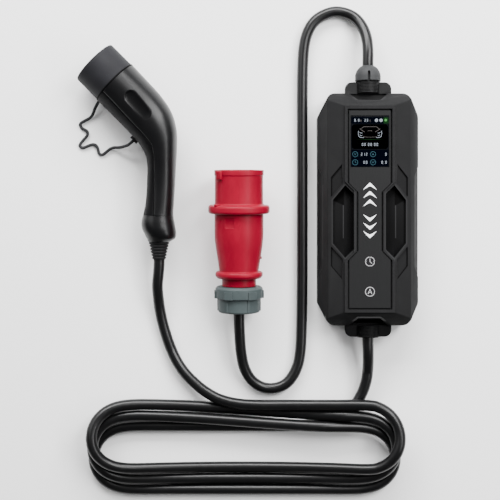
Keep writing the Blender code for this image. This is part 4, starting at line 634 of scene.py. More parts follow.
def tube(name, path, diameter, material, sides):
    """A closed round tube along a path, with a UV map that runs along it."""
    radius = diameter / 2
    points = [Vector(point) for point in path]
    runs = [0.0]
    for start, end in zip(points, points[1:]):
        runs.append(runs[-1] + (end - start).length)
    bm = bmesh.new()
    layer = bm.loops.layers.uv.new("UVMap")
    tangent = (points[1] - points[0]).normalized()
    side = tangent.orthogonal().normalized()
    rings = []
    for i, point in enumerate(points):
        new_tangent = (points[min(i + 1, len(points) - 1)] - points[max(i - 1, 0)]).normalized()
        side = tangent.rotation_difference(new_tangent) @ side
        side = (side - new_tangent * side.dot(new_tangent)).normalized()
        tangent = new_tangent
        other = tangent.cross(side)
        rings.append([bm.verts.new(point + radius * (math.cos(a) * side + math.sin(a) * other))
                      for a in (math.tau * k / sides for k in range(sides))])
    for i, (ring, following) in enumerate(zip(rings, rings[1:])):
        for k in range(sides):
            n = (k + 1) % sides
            face = bm.faces.new((ring[k], ring[n], following[n], following[k]))
            for loop, (u, v) in zip(face.loops, ((k, i), (k + 1, i), (k + 1, i + 1), (k, i + 1))):
                loop[layer].uv = (u / sides, runs[v] / (math.pi * diameter))
    bm.faces.new(rings[0])
    bm.faces.new(rings[-1])
    return piece(name, bm, material, 60)


# A point of a route that gives no height lies at the cord's resting height
SUPPLY_ROUTE = (
    (0, 0.1726, 0.027), (0, 0.1776, 0.027), (0.0002, 0.189, 0.0258), (-0.0006, 0.204, 0.0215),
    (-0.0045, 0.219, 0.015), (-0.013, 0.232, 0.0095), (-0.025, 0.2388, 0.0072), (-0.039, 0.2407), (-0.053, 0.2362),
    (-0.064, 0.228), (-0.0715, 0.215), (-0.0755, 0.199), (-0.0772, 0.175), (-0.0778, 0.13), (-0.0778, 0.06),
    (-0.0778, -0.01), (-0.0779, -0.08), (-0.0786, -0.135), (-0.0802, -0.172), (-0.085, -0.193), (-0.0955, -0.209),
    (-0.11, -0.216, 0.0072), (-0.126, -0.215, 0.008), (-0.1395, -0.206, 0.0102), (-0.148, -0.191, 0.0142),
    (-0.152, -0.172, 0.0192), (-0.1537, -0.15, 0.0238), (-0.1544, -0.1285, 0.0267), (-0.1544, -0.1231, 0.0271),
)
BOX_END_ROUTE = (
    (0, -0.1533, 0.027), (0, -0.16, 0.0268), (0.0004, -0.17, 0.0256), (0.0008, -0.183, 0.0215),
    (0.0006, -0.197, 0.015), (-0.002, -0.211, 0.0095), (-0.008, -0.226), (-0.0185, -0.24), (-0.034, -0.251),
    (-0.054, -0.258), (-0.078, -0.2612), (-0.11, -0.262),
)
TAIL_ROUTE = (
    (-0.045, -0.2345), (-0.09, -0.2348), (-0.13, -0.235), (-0.156, -0.2334), (-0.178, -0.2283), (-0.195, -0.2195),
    (-0.209, -0.2085), (-0.22, -0.1975), (-0.229, -0.185), (-0.2365, -0.17), (-0.242, -0.155), (-0.2465, -0.14),
    (-0.25, -0.124, 0.0085), (-0.252, -0.108, 0.013), (-0.2528, -0.092, 0.019), (-0.2515, -0.078, 0.0218),
    (-0.2505, -0.0659, 0.0231), (-0.2505, -0.0609, 0.0233), (-0.2505, -0.0591, 0.0234),
)
TETHER_ROUTE = (
    (-0.3217, 0.1346, 0.0141), (-0.3233, 0.133, 0.0127), (-0.329, 0.1245, 0.007), (-0.3342, 0.114, 0.0028),
    (-0.342, 0.1092), (-0.3485, 0.105), (-0.346, 0.0996), (-0.3395, 0.0962), (-0.3392, 0.0915), (-0.345, 0.0845),
    (-0.3491, 0.0785), (-0.345, 0.0756), (-0.337, 0.079), (-0.33, 0.08), (-0.3266, 0.075), (-0.3255, 0.0685),
    (-0.321, 0.0672), (-0.315, 0.072, 0.0024), (-0.3085, 0.0758, 0.004), (-0.2985, 0.0758, 0.0095),
    (-0.289, 0.0778, 0.017), (-0.2848, 0.0806, 0.0198), (-0.2825, 0.0826, 0.02), (-0.2811, 0.0838, 0.02),
)
COIL_LEFT_X = -0.2951
COIL_RIGHT_X = -0.0009
COIL_END_RADIUS = 0.0385
COIL_FRONT_STRANDS = (-0.3390, -0.3252, -0.3114)


def coil_points():
    """The turns in plan: down each left end, right along the front, up the right end and back."""
    points = []
    span = COIL_RIGHT_X - COIL_LEFT_X
    for number, front in enumerate(COIL_FRONT_STRANDS):
        centre_y = front + COIL_END_RADIUS
        if number:
            back_right = COIL_FRONT_STRANDS[number - 1] + 2 * COIL_END_RADIUS
            drop = front + 2 * COIL_END_RADIUS - back_right
            points += [(COIL_RIGHT_X - span * share, back_right + drop * (share * share * (3 - 2 * share)))
                       for share in (0.18, 0.36, 0.54, 0.72, 0.90)]
        else:
            points += [(-0.1500, -0.2620), (-0.2050, -0.2620), (-0.2600, -0.2620)]
        points += arc(COIL_LEFT_X, centre_y, COIL_END_RADIUS, 8, math.pi / 2, math.pi)
        points += [(COIL_LEFT_X + span * share, front) for share in (0.12, 0.24, 0.38, 0.5, 0.62, 0.76, 0.88)]
        points += arc(COIL_RIGHT_X, centre_y, COIL_END_RADIUS, 8, -math.pi / 2, math.pi)
    return points


def at_rest(points, height=RESTING_HEIGHT):
    return [point if len(point) == 3 else (*point, height) for point in points]


def eased(plan, rounds, fixed_start, fixed_end):
    """Rounds off a path in plan between its fixed ends."""
    plan = plan.copy()
    for _ in range(rounds):
        plan[fixed_start:len(plan) - fixed_end] = (plan[fixed_start - 1:-fixed_end - 1]
                                                   + 2 * plan[fixed_start:len(plan) - fixed_end]
                                                   + plan[fixed_start + 1:len(plan) - fixed_end + 1]) / 4
    return plan


def laid_down(path, diameter, fixed_start, fixed_end):
    """Lifts a path over its own earlier turns in long low humps, as a stiff cable lies."""
    plan = path[:, :2]
    floor = path[:, 2].copy()
    count = len(path)
    gap = np.linalg.norm(plan[:, None] - plan[None], axis=2)
    later, earlier = np.where((gap < diameter) & (np.subtract.outer(np.arange(count), np.arange(count)) > 9))
    rise = np.sqrt(np.maximum(0.0, diameter ** 2 - gap[later, earlier] ** 2))
    height = floor.copy()
    for _ in range(500):
        smooth = height.copy()
        smooth[2:-2] = (height[:-4] + 4 * height[1:-3] + 6 * height[2:-2] + 4 * height[3:-1] + height[4:]) / 16
        smooth = np.maximum(smooth, floor)
        smooth[:fixed_start] = floor[:fixed_start]
        smooth[count - fixed_end:] = floor[count - fixed_end:]
        wanted = smooth[earlier] + rise
        np.maximum.at(smooth, later, wanted)
        height = smooth
    return np.column_stack([plan, height])


def output_path():
    path = smooth_path(at_rest([*BOX_END_ROUTE, *coil_points(), *TAIL_ROUTE]), CABLE_STEP)
    path[:, :2] = eased(path[:, :2], rounds=28, fixed_start=50, fixed_end=130)
    return laid_down(path, CABLE_DIAMETER * 1.01, fixed_start=12, fixed_end=30)


# Camera, floor and light

LIT_MIDDLE = (-0.14, -0.05, 0.0)
# Name, place, size, power
SOFTBOXES = (
    ("key_left", (-1.75, 0.80, 1.30), (1.0, 2.2), 22),
    ("top_right", (0.85, 0.85, 1.45), (0.6, 1.6), 58),
    ("back_top", (-0.40, 1.80, 1.25), (2.4, 0.8), 160),
    ("right_strip", (0.88, 0.02, 1.12), (1.3, 0.26), 13),
)


def set_camera():
    lens = bpy.data.cameras.new("camera")
    lens.lens = 90
    lens.sensor_width = 36
    camera = bpy.data.objects.new("camera", lens)
    camera.location = (-0.1413, -0.0485, 1.525)
    bpy.context.scene.collection.objects.link(camera)
    bpy.context.scene.camera = camera


def softbox(name, place, size, power):
    light = bpy.data.lights.new(name, "AREA")
    light.shape = "RECTANGLE"
    light.size, light.size_y = size
    light.energy = power
    made = bpy.data.objects.new(name, light)
    made.location = place
    made.rotation_euler = (Vector(LIT_MIDDLE) - Vector(place)).to_track_quat("-Z", "Y").to_euler()
    bpy.context.scene.collection.objects.link(made)


def set_studio():
    world = bpy.data.worlds.new("studio")
    world.use_nodes = True
    background = world.node_tree.nodes["Background"]
    background.inputs["Color"].default_value = (1.0, 1.0, 1.0, 1)
    background.inputs["Strength"].default_value = 0.20
    bpy.context.scene.world = world
    for settings in SOFTBOXES:
        softbox(*settings)
    bm = bmesh.new()
    half = 3.0
    bm.faces.new([bm.verts.new((x * half, y * half, 0.0)) for x, y in ((-1, -1), (1, -1), (1, 1), (-1, 1))])
    mesh = bpy.data.meshes.new("floor")
    bm.to_mesh(mesh)
    bm.free()
    finish = Finish("floor_pale")
    tone = finish.noise(6, 2)
    mesh.materials.append(finish.done(finish.blend(tone, (0.91, 0.91, 0.91, 1), (0.93, 0.93, 0.93, 1)),
                                      0.75 + tone * 0.05))
    floor = bpy.data.objects.new("floor", mesh)
    bpy.context.scene.collection.objects.link(floor)


# Control box

def stand_in(made, slot, *nodes):
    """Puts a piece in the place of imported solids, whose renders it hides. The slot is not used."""
    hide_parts(*nodes)
    return made


# Piece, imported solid, finish and slot, rounding of the edges, least edge angle in degrees
CASE_PIECES = (
    ("case_front", "front_shell", "case", 0.00045, 24), ("case_rear", "rear_shell", "case", 0.00045, 30),
    ("front_panel", "fascia_panel", "panel", 0.00022, 30), ("display_cover", "display_lens", "lens", 0.00025, 30),
)


def dress_case(finishes):
    made = []
    for name, node, finish, edge, angle in CASE_PIECES:
        part = softened(merged_copy(node, name, finishes[finish]), edge, angle)
        made.append(stand_in(part, finish, node))
    return made


# Pieces of the screen's drawing: tone and slot
SCREEN_PIECES = {
    "screen_fields": ("navy", "lens"), "screen_picture_area": ("black", "lens"),
    "screen_car_lamps": ("white", "light_guide"), "screen_car_lines": ("grey", "light_guide"),
    "screen_rings": ("teal", "light_guide"), "screen_green_marks": ("green", "light_guide"),
    "screen_status_dots": ("white", "light_guide"), "screen_status_signs": ("black", "lens"),
    "screen_link_lamp": ("lime", "light_guide"),
}
# Half of the car's front: piece, width in mm, points from the screen's middle
CAR_LINES = (
    ("screen_car_lines", 0.45, ((0, 13), (7.4, 13), (8.6, 13.8), (11.6, 16.4))),
    ("screen_car_lines", 0.5, ((11.9, 15.4), (9.4, 17.2), (6.2, 19.2))),
    ("screen_car_lamps", 0.45, ((13.3, 17.8), (13.9, 20.4), (13.2, 24.4), (11.6, 25.6), (7.2, 25.8))),
    ("screen_car_lamps", 0.4, ((12.4, 19.4), (10.4, 20.6), (9, 20.4))),
    ("screen_car_lamps", 0.4, ((12, 22.6), (10.6, 23.6), (9, 23.2))),
    ("screen_car_lines", 0.3, ((8.2, 24.4), (4, 25.2), (0, 25.4))),
    ("screen_car_lines", 0.4, ((0, 17.9), (1.4, 17.5), (2.6, 18.3))),
)
# Name, text, place, height in mm, alignment, tone
SCREEN_TEXTS = (
    ("screen_voltage", "8.8", (7.6, 5.4), 3.2, "CENTER", "white"),
    ("screen_heat", "33", (18.4, 5.4), 3.2, "CENTER", "white"),
    ("screen_clock_hours", "00", (15.7, 33.9), 3.3, "CENTER", "white"),
    ("screen_clock_minutes", "00", (22.9, 33.9), 3.3, "CENTER", "white"),
    ("screen_clock_seconds", "00", (30.1, 33.9), 3.3, "CENTER", "white"),
    ("screen_value_1", "212", (19.8, 45.4), 3.3, "RIGHT", "white"),
    ("screen_value_2", "0", (42.6, 45.4), 3.3, "RIGHT", "white"),
    ("screen_value_3", "00", (19.8, 54.9), 3.3, "RIGHT", "white"),
    ("screen_value_4", "0.0", (42.6, 54.9), 3.3, "RIGHT", "white"),
    ("screen_unit_1", "V", (12.3, 5.9), 2.0, "CENTER", "grey"),
    ("screen_unit_2", "C", (23.2, 5.9), 2.0, "CENTER", "grey"),
)
SCREEN_MIDDLE = 23.0
SCREEN_HALF_HEIGHT = 30.2


def on_screen(*points):
    """From the screen's own layout, in mm from its left edge and down from its top, to X and Y."""
    return [((x - SCREEN_MIDDLE) * MM, LENS_CENTRE_Y + (SCREEN_HALF_HEIGHT - y) * MM) for x, y in points]


def screen_plate(bm, left, top, right, bottom, corner, low, high):
    """A flat field of the screen with cut corners."""
    flat_shape(bm, on_screen((left + corner, bottom), (right - corner, bottom), (right, bottom - corner),
                             (right, top + corner), (right - corner, top), (left + corner, top),
                             (left, top + corner), (left, bottom - corner)), low, high)


def draw_fields(drawn, low, high):
    """The lit areas of the screen: a status strip, the picture area and the lower table."""
    screen_plate(drawn["screen_fields"], 1.2, 1.8, 44.8, 9.4, 1.2, low, high)
    screen_plate(drawn["screen_fields"], 1.2, 40.2, 44.8, 59.6, 0.6, low, high)
    screen_plate(drawn["screen_picture_area"], 1.4, 10.2, 44.6, 39.2, 2.6, low, high)


def draw_car(drawn, low, high):
    """A line drawing of a car's front: roof, screen posts, lamps and air intakes."""
    for side in (-1, 1):
        for name, width, points in CAR_LINES:
            stroke(drawn[name], on_screen(*((SCREEN_MIDDLE + side * x, y) for x, y in points)), width * MM, low, high)


def draw_rings(drawn, low, high):
    """Four ringed signs beside the values: a volt mark, an ampere mark, a clock hand and an energy mark."""
    teal = drawn["screen_rings"]
    line = 0.00045
    for centre in on_screen((5.6, 45.4), (26.6, 45.4), (5.6, 54.9), (26.6, 54.9)):
        ring_mark(teal, centre, 0.0031, line, low, high)
    stroke(teal, on_screen((4.6, 44.4), (5.6, 46.4), (6.6, 44.4)), line, low, high)
    flat_shape(teal, on_screen((26.6, 44.2), (25.5, 46.2), (27.7, 46.2)), low, high)
    stroke(teal, on_screen((5.6, 53.0), (5.6, 54.9), (6.8, 55.6)), line, low, high)
    stroke(teal, on_screen((25.2, 54.0), (26.4, 55.8), (28.2, 53.8)), line, low, high)


def draw_status(drawn, low, high):
    """The line under the car, two status lamps with their marks, and the link lamp on its square."""
    green = drawn["screen_green_marks"]
    flat_shape(green, on_screen((6.5, 28.0), (23, 28.3), (39.5, 28.0), (23, 27.7)), low, high)
    screen_plate(green, 38.7, 1.8, 44.8, 9.4, 1.0, low - 0.00001, high - 0.00003)
    for x in (30.6, 36.0):
        (centre,) = on_screen((x, 5.4))
        flat_shape(drawn["screen_status_dots"], arc(*centre, 1.9 * MM, 28), low, high)
        bar(drawn["screen_status_signs"], *on_screen((x, 4.6), (x, 6.6)), 0.0005, high, high + 0.00002)
    turns = [math.tau * k / 28 for k in range(28)]
    lamp = on_screen(*((41.6 + 1.6 * math.cos(turn), 5.2 - 1.5 * math.sin(turn)) for turn in turns))
    flat_shape(drawn["screen_link_lamp"], lamp, low, high)


def dress_screen(finishes):
    low = PANEL_FACE + 0.00002
    base = low + 0.00005
    top = base + 0.00005
    drawn = {name: bmesh.new() for name in SCREEN_PIECES}
    draw_fields(drawn, low, low + 0.00004)
    draw_car(drawn, base, top)
    draw_rings(drawn, base, top)
    draw_status(drawn, base, top)
    made = [piece(name, drawn[name], finishes[tone], None) for name, (tone, slot) in SCREEN_PIECES.items()]
    for name, text, place, height, align, tone in SCREEN_TEXTS:
        made.append(digits(name, text, *on_screen(place), height * MM, finishes[tone], base, top, align))
    return made


def dress_keys(finishes):
    """The printed marks of the two touch keys: a clock and an A, each in a ring."""
    low = PANEL_FACE + 0.00001
    high = low + 0.00005
    radius = 0.0053
    line = 0.00075
    gap = 0.12
    discs = bmesh.new()
    marks = bmesh.new()
    for y in (TOUCH_TIMER_Y, TOUCH_CURRENT_Y):
        flat_shape(discs, arc(0.0, y, radius, 72), low - 0.000005, low + 0.000005)
    ring_mark(marks, (0.0, TOUCH_CURRENT_Y), radius, line, low, high, 72)
    y = TOUCH_TIMER_Y
    centre = Vector((0.0, y))
    for quarter in range(4):
        heading = math.pi / 2 * quarter
        stroke(marks, arc(*centre, radius, 16, heading + gap, math.pi / 2 - 2 * gap), line, low, high)
        away = Vector((math.cos(heading), math.sin(heading)))
        bar(marks, centre + away * (radius - 0.0012), centre + away * (radius + 0.0002), 0.0006, low, high)
    stroke(marks, [(0.0, y + 0.0034), (0.0, y), (0.0024, y - 0.0024)], 0.0007, low, high)
    y = TOUCH_CURRENT_Y
    stroke(marks, [(-0.0023, y - 0.0027), (0.0, y + 0.0030), (0.0023, y - 0.0027)], 0.0009, low, high)
    bar(marks, (-0.0015, y - 0.0009), (0.0015, y - 0.0009), 0.0006, low, high)
    return [piece("key_discs", discs, finishes["key_disc"], None),
            piece("key_marks", marks, finishes["key_ink"], None)]


class Maker:
    """A Geometry Nodes tree under construction, with named inputs and a material."""

    def __init__(self, name, **inputs):
        self.tree = bpy.data.node_groups.new(name, "GeometryNodeTree")
        self.tree.interface.new_socket("Geometry", in_out="INPUT", socket_type="NodeSocketGeometry")
        for label, kind in {**inputs, "Finish": "Material"}.items():
            self.tree.interface.new_socket(label.replace("_", " "), in_out="INPUT", socket_type="NodeSocket" + kind)
        self.tree.interface.new_socket("Geometry", in_out="OUTPUT", socket_type="NodeSocketGeometry")
        self.source = self.tree.nodes.new("NodeGroupInput")
        self.sink = self.tree.nodes.new("NodeGroupOutput")

    def given(self, label):
        return self.source.outputs[label]

    def node(self, kind, settings=None, *values, **named):
        return add_node(self.tree, kind, settings, values, named)

    def finish(self, geometry):
        """Ends the tree with real geometry that has the given material."""
        real = self.node("GeometryNodeRealizeInstances", Geometry=geometry)
        coloured = self.node("GeometryNodeSetMaterial", Geometry=real, Material=self.given("Finish"))
        self.tree.links.new(coloured.outputs[0], self.sink.inputs[0])
        return self.tree


def grown(name, tree, smooth, slot, **values):
    """Runs a tree and keeps the result as a plain piece."""
    holder = bpy.data.objects.new(name, bpy.data.meshes.new(name))
    bpy.context.scene.collection.objects.link(holder)
    step = holder.modifiers.new("grow", "NODES")
    step.node_group = tree
    for item in tree.interface.items_tree:
        label = item.name.replace(" ", "_")
        if label in values:
            step[item.identifier] = values[label]
    settle(holder)
    holder.data.shade_smooth()
    holder.data.set_sharp_from_angle(angle=math.radians(smooth))
    return holder


def ring_row_tree():
    """A row of equal rings along Y, such as the ribs of a barrel."""
    maker = Maker("ring_row", Count="Int", Pitch="Float", Start="Vector", Ring_Radius="Float", Rib_Radius="Float")
    curves = [maker.node("GeometryNodeCurvePrimitiveCircle", {"mode": "RADIUS"}, Resolution=sides,
                         Radius=maker.given(label)) for sides, label in ((72, "Ring Radius"), (8, "Rib Radius"))]
    ring = maker.node("GeometryNodeCurveToMesh", Curve=curves[0], Profile_Curve=curves[1])
    step = maker.node("ShaderNodeCombineXYZ", Y=maker.given("Pitch"))
    line = maker.node("GeometryNodeMeshLine", {"mode": "OFFSET"}, Count=maker.given("Count"),
                      Start_Location=maker.given("Start"), Offset=step)
    placed = maker.node("GeometryNodeInstanceOnPoints", Points=line, Instance=ring,
                        Rotation=(math.radians(90), 0.0, 0.0))
    return maker.finish(placed)


def ridge_circle_tree():
    """Equal long ridges round an axis along Y, such as the grips of a nut."""
    maker = Maker("ridge_circle", Count="Int", Radius="Float", Centre="Vector", Width="Float", Height="Float",
                  Length="Float", Turn="Float")
    rounding = maker.node("GeometryNodeCurvePrimitiveQuadrilateral", {"mode": "RECTANGLE"},
                          Width=maker.given("Width"), Height=maker.given("Height"))
    soft = maker.node("GeometryNodeFilletCurve", {"mode": "POLY"}, Curve=rounding, Count=4, Radius=0.0007)
    run = maker.node("GeometryNodeCurvePrimitiveLine", {"mode": "DIRECTION"}, Direction=(0.0, 0.0, 1.0),
                     Length=maker.given("Length"))
    rib = maker.node("GeometryNodeCurveToMesh", Curve=run, Profile_Curve=soft, Fill_Caps=True)
    ring = maker.node("GeometryNodeMeshCircle", {"fill_type": "NONE"}, Vertices=maker.given("Count"),
                      Radius=maker.given("Radius"))
    number = maker.node("ShaderNodeMath", {"operation": "DIVIDE"}, maker.node("GeometryNodeInputIndex"),
                        maker.given("Count"))
    angle = maker.node("ShaderNodeMath", {"operation": "MULTIPLY"}, number, math.tau)
    placed = maker.node("GeometryNodeInstanceOnPoints", Points=ring, Instance=rib,
                        Rotation=maker.node("ShaderNodeCombineXYZ", Z=angle))
    spun = maker.node("GeometryNodeTransform", Geometry=placed,
                      Rotation=maker.node("ShaderNodeCombineXYZ", Z=maker.given("Turn")))
    return maker.finish(maker.node("GeometryNodeTransform", Geometry=spun, Rotation=(math.radians(90), 0.0, 0.0),
                                   Translation=maker.given("Centre")))


# Gland block, way out of the box, finish, floor of its pocket, first rib
COLLARS = (
    ("top_collar", 1, "collar", 0.0270, CASE_END + 0.0010),
    # The lower collar takes the darker copy of the collar plastic as painted shade
    ("bottom_collar", -1, "collar_shaded", 0.0150, -EAR_END + 0.0006),
)


def dress_collars(finishes, rings):
    made = []
    for name, end, finish, floor, start in COLLARS:
        collar = merged_copy(name, name + "_block", finishes[finish])
        pocket = bmesh.new()
        half = 0.0238
        near, far = sorted((end * (CASE_END - 0.0120), end * (CASE_END - 0.0004)))
        flat_shape(pocket, [(-half, near), (half, near), (half, far), (-half, far)], floor, 0.0460)
        cut_away(collar, piece("pocket_tool", pocket, None, None))
        made += [stand_in(softened(collar, 0.0004, 35), "rubber", name),
                 grown(name + "_ribs", rings, 60, "rubber", Count=8, Pitch=0.0017,
                       Start=(0.0, start, GLAND_AXIS_HEIGHT), Ring_Radius=BARREL_RADIUS, Rib_Radius=0.0005,
                       Finish=finishes[finish])]
    return made


def dress_dome(finishes):
    """The grey bush: a dome, flat at the cable, with a slot along its crown and a bead at its base."""
    tip = math.asin((CABLE_DIAMETER / 2 + 0.0003) / DOME_RADIUS)
    profile = [(0, 0), (DOME_RADIUS - 0.0006, 0), (DOME_RADIUS, 0.0006)]
    steps = 22
    for k in range(steps + 1):
        angle = math.pi / 2 - (math.pi / 2 - tip) * k / steps
        profile.append((DOME_RADIUS * math.sin(angle), DOME_BASE_LENGTH + DOME_RADIUS * math.cos(angle)))
    profile.append((0, profile[-1][1] - 0.0004))
    dome = piece("dome_bush", along_y(turned(profile), 0, DOME_START, GLAND_AXIS_HEIGHT), finishes["grey_rubber"], 40)
    slot = bmesh.new()
    crown = GLAND_AXIS_HEIGHT + DOME_RADIUS
    flat_shape(slot, arc(0.0, DOME_START + 0.0100, DOME_SLOT_HALF_WIDTH, 12, 0.0, math.pi)
               + arc(0.0, DOME_START + 0.0012, DOME_SLOT_HALF_WIDTH, 12, math.pi, math.pi),
               crown - 0.0045, crown + 0.004)
    cut_away(dome, piece("dome_slot_tool", slot, None, None))
    dome.data.set_sharp_from_angle(angle=math.radians(40))
    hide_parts("top_dome")
    return [dome]


# Vehicle connector

# Outer and inner edge of the handle in plan, and half its thickness
HANDLE_STATIONS = (
    ((-0.2813, 0.172), (-0.3233, 0.13), 0.0297), ((-0.264, 0.1537), (-0.3058, 0.1124), 0.0294),
    ((-0.2478, 0.1358), (-0.2885, 0.095), 0.0286), ((-0.2352, 0.1165), (-0.2747, 0.0795), 0.0272),
    ((-0.2291, 0.095), (-0.2665, 0.065), 0.025), ((-0.2287, 0.0735), (-0.2643, 0.052), 0.0228),
    ((-0.2299, 0.052), (-0.2646, 0.037), 0.0206), ((-0.2311, 0.031), (-0.2652, 0.023), 0.0196),
    ((-0.2324, 0.01), (-0.2664, 0.0085), 0.0194), ((-0.2333, -0.006), (-0.269, -0.0045), 0.0198),
    ((-0.2318, -0.0165), (-0.2716, -0.0155), 0.0208), ((-0.23, -0.027), (-0.2706, -0.0235), 0.021),
    ((-0.2312, -0.0345), (-0.2672, -0.0305), 0.0192), ((-0.238, -0.039), (-0.263, -0.039), 0.0145),
)
STRIP_SEAM = (
    (-0.3145, 0.1385), (-0.286, 0.108), (-0.266, 0.087), (-0.2578, 0.0765), (-0.2556, 0.065), (-0.2553, 0.045),
    (-0.2557, 0.02), (-0.2561, -0.0073),
)


def connector_place():
    return Matrix.Translation(CONNECTOR_RIM) @ Matrix.Rotation(CONNECTOR_LEAN, 4, "X")


def from_rim(point):
    return Vector((point[0] - CONNECTOR_RIM.x, point[1] - CONNECTOR_RIM.y))


def handle_rings(count):
    """Sections of the handle between its outer and inner edge in plan, evenly read from the stations."""
    fine = smooth_path([(*from_rim(outer), *from_rim(inner), half) for outer, inner, half in HANDLE_STATIONS], 0.0002)
    picks = np.linspace(0, len(fine) - 1, count).round().astype(int)
    return fine[picks], picks / (len(fine) - 1)


def seam_share(outer, inner, seam):
    """How far across a section the seam crosses it: 1 at the outer edge, -1 at the inner one."""
    centre = (outer + inner) / 2
    across = (outer - inner) / 2
    normal = Vector((-across.y, across.x)).normalized()
    best = None
    for start, end in zip(seam, seam[1:]):
        a = (start - centre).dot(normal)
        b = (end - centre).dot(normal)
        if a * b <= 0 and abs(a - b) > 1e-12:
            point = start + (end - start) * (a / (a - b))
            share = (point - centre).dot(across) / across.length_squared
            if -1.2 < share < 1.0 and (best is None or abs(share) < abs(best)):
                best = share
    return best


def press_thumb(point):
    """Sinks a point of the head's upper face into the oval thumb recess."""
    start = from_rim(THUMB_START)
    end = from_rim(THUMB_END)
    run = end - start
    flat = Vector((point.x, point.y))
    share = max(0.0, min(1.0, (flat - start).dot(run) / run.length_squared))
    reach = (flat - (start + run * share)).length
    if reach > THUMB_RADIUS + 0.0008 or point.z < 0:
        return point
    depth = 1 - min(1.0, max(0.0, (reach - THUMB_RADIUS * 0.84) / (THUMB_RADIUS * 0.16 + 0.0008)))
    ease = depth * depth * (3 - 2 * depth)
    floor = HEAD_RADIUS - THUMB_DEPTH - 0.0010 * (1 - (reach / THUMB_RADIUS) ** 2)
    return Vector((point.x, point.y, point.z + (min(point.z, floor) - point.z) * ease))


def signed_power(value, power):
    """A value raised to a power, with its sign kept."""
    return math.copysign(abs(value) ** power, value)


def handle_half(side):
    """One moulding of the handle: the gripped outer part (side 1) or the strip along its inside (-1)."""
    steps = 96
    seam = [from_rim(point) for point in STRIP_SEAM]
    seam.insert(0, seam[0] + (seam[0] - seam[1]).normalized() * 0.03)
    bm = bmesh.new()
    loops = []
    for (*edges, half), share in zip(*handle_rings(HANDLE_SECTIONS)):
        outer = Vector(edges[:2])
        inner = Vector(edges[2:])
        centre = (outer + inner) / 2
        across = (outer - inner) / 2
        crossing = seam_share(outer, inner, seam)
        crossing = -1.0 if crossing is None else max(-1.0, min(0.98, crossing))
        seamed = crossing > SEAM_LEAST_SHARE
        if side < 0 and not seamed:
            continue
        power = 2 + 0.25 * min(1.0, share * 3.2)
        limit = math.acos(max(-1.0, min(1.0, signed_power(crossing, power / 2))))
        start, sweep = (-limit, 2 * limit) if side > 0 else (limit, 2 * (math.pi - limit))
        ring = []
        for k in range(steps + 1):
            angle = start + sweep * k / steps
            x = signed_power(math.cos(angle), 2 / power)
            z = signed_power(math.sin(angle), 2 / power)
            near = min(k, steps - k) / steps * abs(sweep) * across.length
            sink = SEAM_DEPTH * (1 - near / SEAM_REACH) ** 2 if seamed and near < SEAM_REACH else 0.0
            size = 1 - sink / across.length
            point = Vector((centre.x + across.x * x * size, centre.y + across.y * x * size,
                            half * z * (1 - sink / half)))
            if seamed and k in (0, steps):
                point += across.normalized().to_3d() * (side * SEAM_GROOVE * 0.5)
            ring.append(press_thumb(point))
        loops.append(ring)
    if side < 0:
        loops.append([last + (last - before) * 0.8 for before, last in zip(loops[-2], loops[-1])])
    rings = [[bm.verts.new(point) for point in ring] for ring in loops]
    skin(bm, rings)
    bm.faces.new(rings[0])
    bm.faces.new(rings[-1])
    bm.transform(connector_place())
    return bm


def dress_handle(finishes):
    shell = piece("handle_moulding", handle_half(1), finishes["handle"], 50)
    strip = piece("grip_moulding", handle_half(-1), finishes["grip"], 50)
    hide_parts("handle_shell")
    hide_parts("grip_strip")
    return [shell, strip]


def on_head_axis(bm):
    """Places a shape turned about Z on the head's axis, its height pointing out of the head."""
    out = Vector((-1, 1, 0)).normalized()
    turn = Vector((0, 0, 1)).rotation_difference(out).to_matrix().to_4x4()
    bm.transform(connector_place() @ turn)
    return bm


def dress_cap(finishes):
    """The dust cap: a soft cup with a rimmed, slightly crowned end, and the tether's band at its root."""
    radius = 0.0291
    bore = 0.0263
    floor = 0.0325
    profile = soft_profile([
        (bore, 0.0003, 0), (radius - 0.0004, 0.0003, 0.0004), (radius, 0.0022, 0.0006), (radius, 0.0355, 0.0034),
        (0.0240, 0.0358, 0.001), (0.0235, 0.0353, 0.0006), (0.0, 0.0361, 0)], 6)
    cap = piece("cap_cup", on_head_axis(turned([*profile, (0, floor), (bore, floor), profile[0]], 128)),
                finishes["cap"], 40)
    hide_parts("dust_cap")
    band = soft_profile([
        (0.0285, -0.0002, 0), (0.0297, -0.0002, 0.0005), (0.0300, 0.0008, 0.0005), (0.0297, 0.0018, 0.0005),
        (0.0285, 0.0018, 0), (0.0285, -0.0002, 0)], 4)
    return [cap, piece("cap_tether_band", on_head_axis(turned(band, 128)), finishes["band"], 50)]


def dress_relief(finishes):
    """The ribbed boot between the handle and the cable."""
    pitch = RELIEF_LENGTH / RELIEF_RIBS
    points = [(0.0, 0.0, 0)]
    for k in range(RELIEF_RIBS):
        for share, groove in ((0.02, 0.0), (0.60, 0.0), (0.70, 0.0013), (0.92, 0.0013)):
            along = (k + share) * pitch
            radius = RELIEF_START_RADIUS + (RELIEF_END_RADIUS - RELIEF_START_RADIUS) * along / RELIEF_LENGTH
            points.append((radius - groove, along, 0.0005))
    points += [(RELIEF_END_RADIUS, RELIEF_LENGTH, 0.0004), (0.0, RELIEF_LENGTH, 0)]
    outer, inner, _ = HANDLE_STATIONS[-1]
    end = (from_rim(outer) + from_rim(inner)) / 2
    bm = along_y(turned(soft_profile(points, 3), 72), end.x, end.y - 0.0003, 0.0, True)
    bm.transform(connector_place())
    relief = piece("bend_relief_boot", bm, finishes["rubber"], 50)
    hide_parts("connector_bend_relief")
    return [relief]


# Supply plug

def plug_place():
    return Matrix.Translation((PLUG_X, 0.0, PLUG_AXIS_HEIGHT)) @ Matrix.Rotation(PLUG_TILT, 4, "X")


